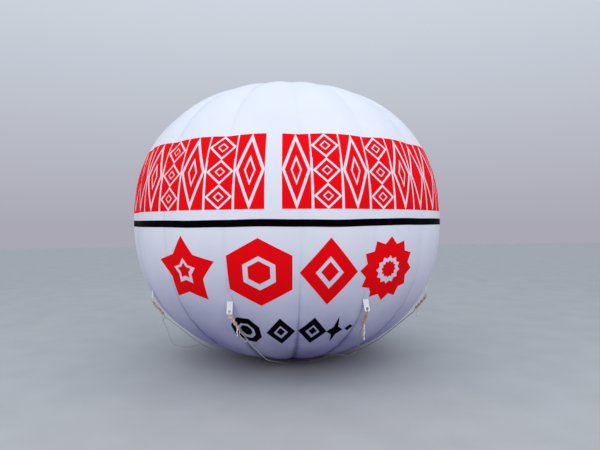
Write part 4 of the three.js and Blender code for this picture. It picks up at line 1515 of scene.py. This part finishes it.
def addNeck():
    # A turned tube that narrows to its throat and flares again, its radius pleated in step round it
    base, axis = neckPlace()
    throat, at, length = neckLook["throat"], neckLook["throatAt"], neckLook["length"]
    rows = ((0.004, 0.07, 18), (0.073, at, 24), (at + 0.002, length, 30))
    height = np.concatenate([np.linspace(*row) for row in rows])
    narrowed = smooth(0.052, at - 0.004, height)
    body = neckLook["tube"] * (1 - narrowed) + throat * narrowed
    flare = (neckLook["mouth"] - throat) * smooth(at + 0.004, length, height)
    flange = neckLook["flange"] * (1 - smooth(0.010, 0.024, height))
    rings = turnedRings(np.stack([body + flare + flange, height], -1), base, axis, neckLook["segments"])
    angle = fullTurn(neckLook["segments"])
    pleat = smooth(0.035, at, height) * (1 - 0.35 * smooth(at + 0.02, length, height))
    wave = np.cos(neckLook["pleats"] * angle + neckLook["pleatSlant"] * height[:, None])
    fold = 1 + neckLook["pleatDepth"] * pleat[:, None] * wave
    fold = fold + 0.10 * smooth(at + 0.01, length, height)[:, None] * np.sin(3 * angle + 1)
    centreLine = base + height[:, None] * axis
    rings = centreLine[:, None] + (rings - centreLine[:, None]) * fold[..., None]
    end = centreLine[-1]
    inside = [[end + (rings[-1] - end) * share + axis * depth] for share, depth in neckLook["mouthInside"]]
    rings = np.concatenate([rings, *inside])
    band = np.zeros(len(rings) * neckLook["segments"] + 2)
    neck = makeMesh("fillerNeck", [ringsData(rings, "fan")], whiteFilm, 60, {"seamBand": band})
    settle(neck, "envelope", "filler_neck")
    # a few turns of cord round the throat
    s = np.linspace(0, 1, 200)
    turn = 2 * math.pi * neckLook["tieTurns"] * s
    first, second = squareAxes(axis)
    around = np.cos(turn)[:, None] * first + np.sin(turn)[:, None] * second
    path = base + axis * (at + neckLook["tieWidth"] * (s - 0.5))[:, None] + neckLook["tieRadius"] * around
    tie = makeMesh("neckTie", [tube(path, neckLook["tieCord"], axis, 10, "fan")], cords["tanCord"], 60)
    settle(tie, "envelope", "neck_tie")


addNeck()
print("neck tied")


# Studio
stageLook = {
    "size": 60.0,
    "floorLevel": -0.0005,
    "floor": (0.46, 0.46, 0.47, 1),
    "floorShade": (0.42, 0.42, 0.43, 1),
    "floorRoughness": 0.8,
    "sky": (0.80, 0.92, 1.0, 1),
    "horizon": (0.40, 0.39, 0.46, 1),
    "skyStrength": 1.0,
    "lights": [  # name, place, the height that it is aimed at, size, power, colour
        ("overheadLeft", (-4.4, -2.8, 6.6), 1.8, 4.0, 46, (0.97, 1.0, 1.0)),
        ("overheadRight", (3.4, -2.8, 6.6), 1.8, 4.0, 44, (0.95, 0.99, 1.0)),
        ("leftFill", (-5.6, -5.6, 3.3), 1.7, 3.5, 74, (1.0, 0.98, 1.0)),
        ("rightFill", (2.4, -7.4, 3.7), 1.8, 3.5, 95, (1.0, 0.97, 1.0)),
    ],
}


def addStage():
    # One large flat square just under the ropes
    mesh = bpy.data.meshes.new("studioFloor")
    half, level = stageLook["size"] / 2, stageLook["floorLevel"]
    corners = [(x * half, y * half, level) for x, y in ((-1, -1), (1, -1), (1, 1), (-1, 1))]
    mesh.from_pydata(corners, [], [(0, 1, 2, 3)])
    material, tree, shader, place = startMaterial("paleFloor")
    share = variedIn(tree, noiseIn(tree, place["Object"], 2.0, 6.0), 0.0, 1.0)
    colour = mixColour(tree, share, stageLook["floor"], stageLook["floorShade"])
    feed(tree, shader.inputs["Base Color"], colour)
    shader.inputs["Roughness"].default_value = stageLook["floorRoughness"]
    mesh.materials.append(material)
    linked("studioFloor", mesh)


def addLight(name, place, aim, size, power, colour):
    # A round soft light turned toward the balloon's axis
    data = bpy.data.lights.new(name, "AREA")
    data.shape = "DISK"
    data.size = size
    data.energy = power
    data.color = colour
    light = linked(name, data)
    light.location = place
    light.rotation_mode = "QUATERNION"
    light.rotation_quaternion = (Vector((0, 0, aim)) - Vector(place)).to_track_quat("-Z", "Y")


def addWorld():
    # Pale air that brightens from the horizon up
    world = bpy.data.worlds.new("studioAir")
    bpy.context.scene.world = world
    world.use_nodes = True
    tree = world.node_tree
    background = tree.nodes["Background"]
    height = heightIn(tree, nodeIn(tree, "ShaderNodeTexCoord").outputs["Generated"])
    share = rangeIn(tree, height, 0.0, 0.8, 0.0, 1.0)
    feed(tree, background.inputs["Color"], mixColour(tree, share, stageLook["horizon"], stageLook["sky"]))
    background.inputs["Strength"].default_value = stageLook["skyStrength"]


addStage()
addWorld()
for light in stageLook["lights"]:
    addLight(*light)
bpy.context.scene.view_settings.view_transform = "Standard"
print("stage lit")
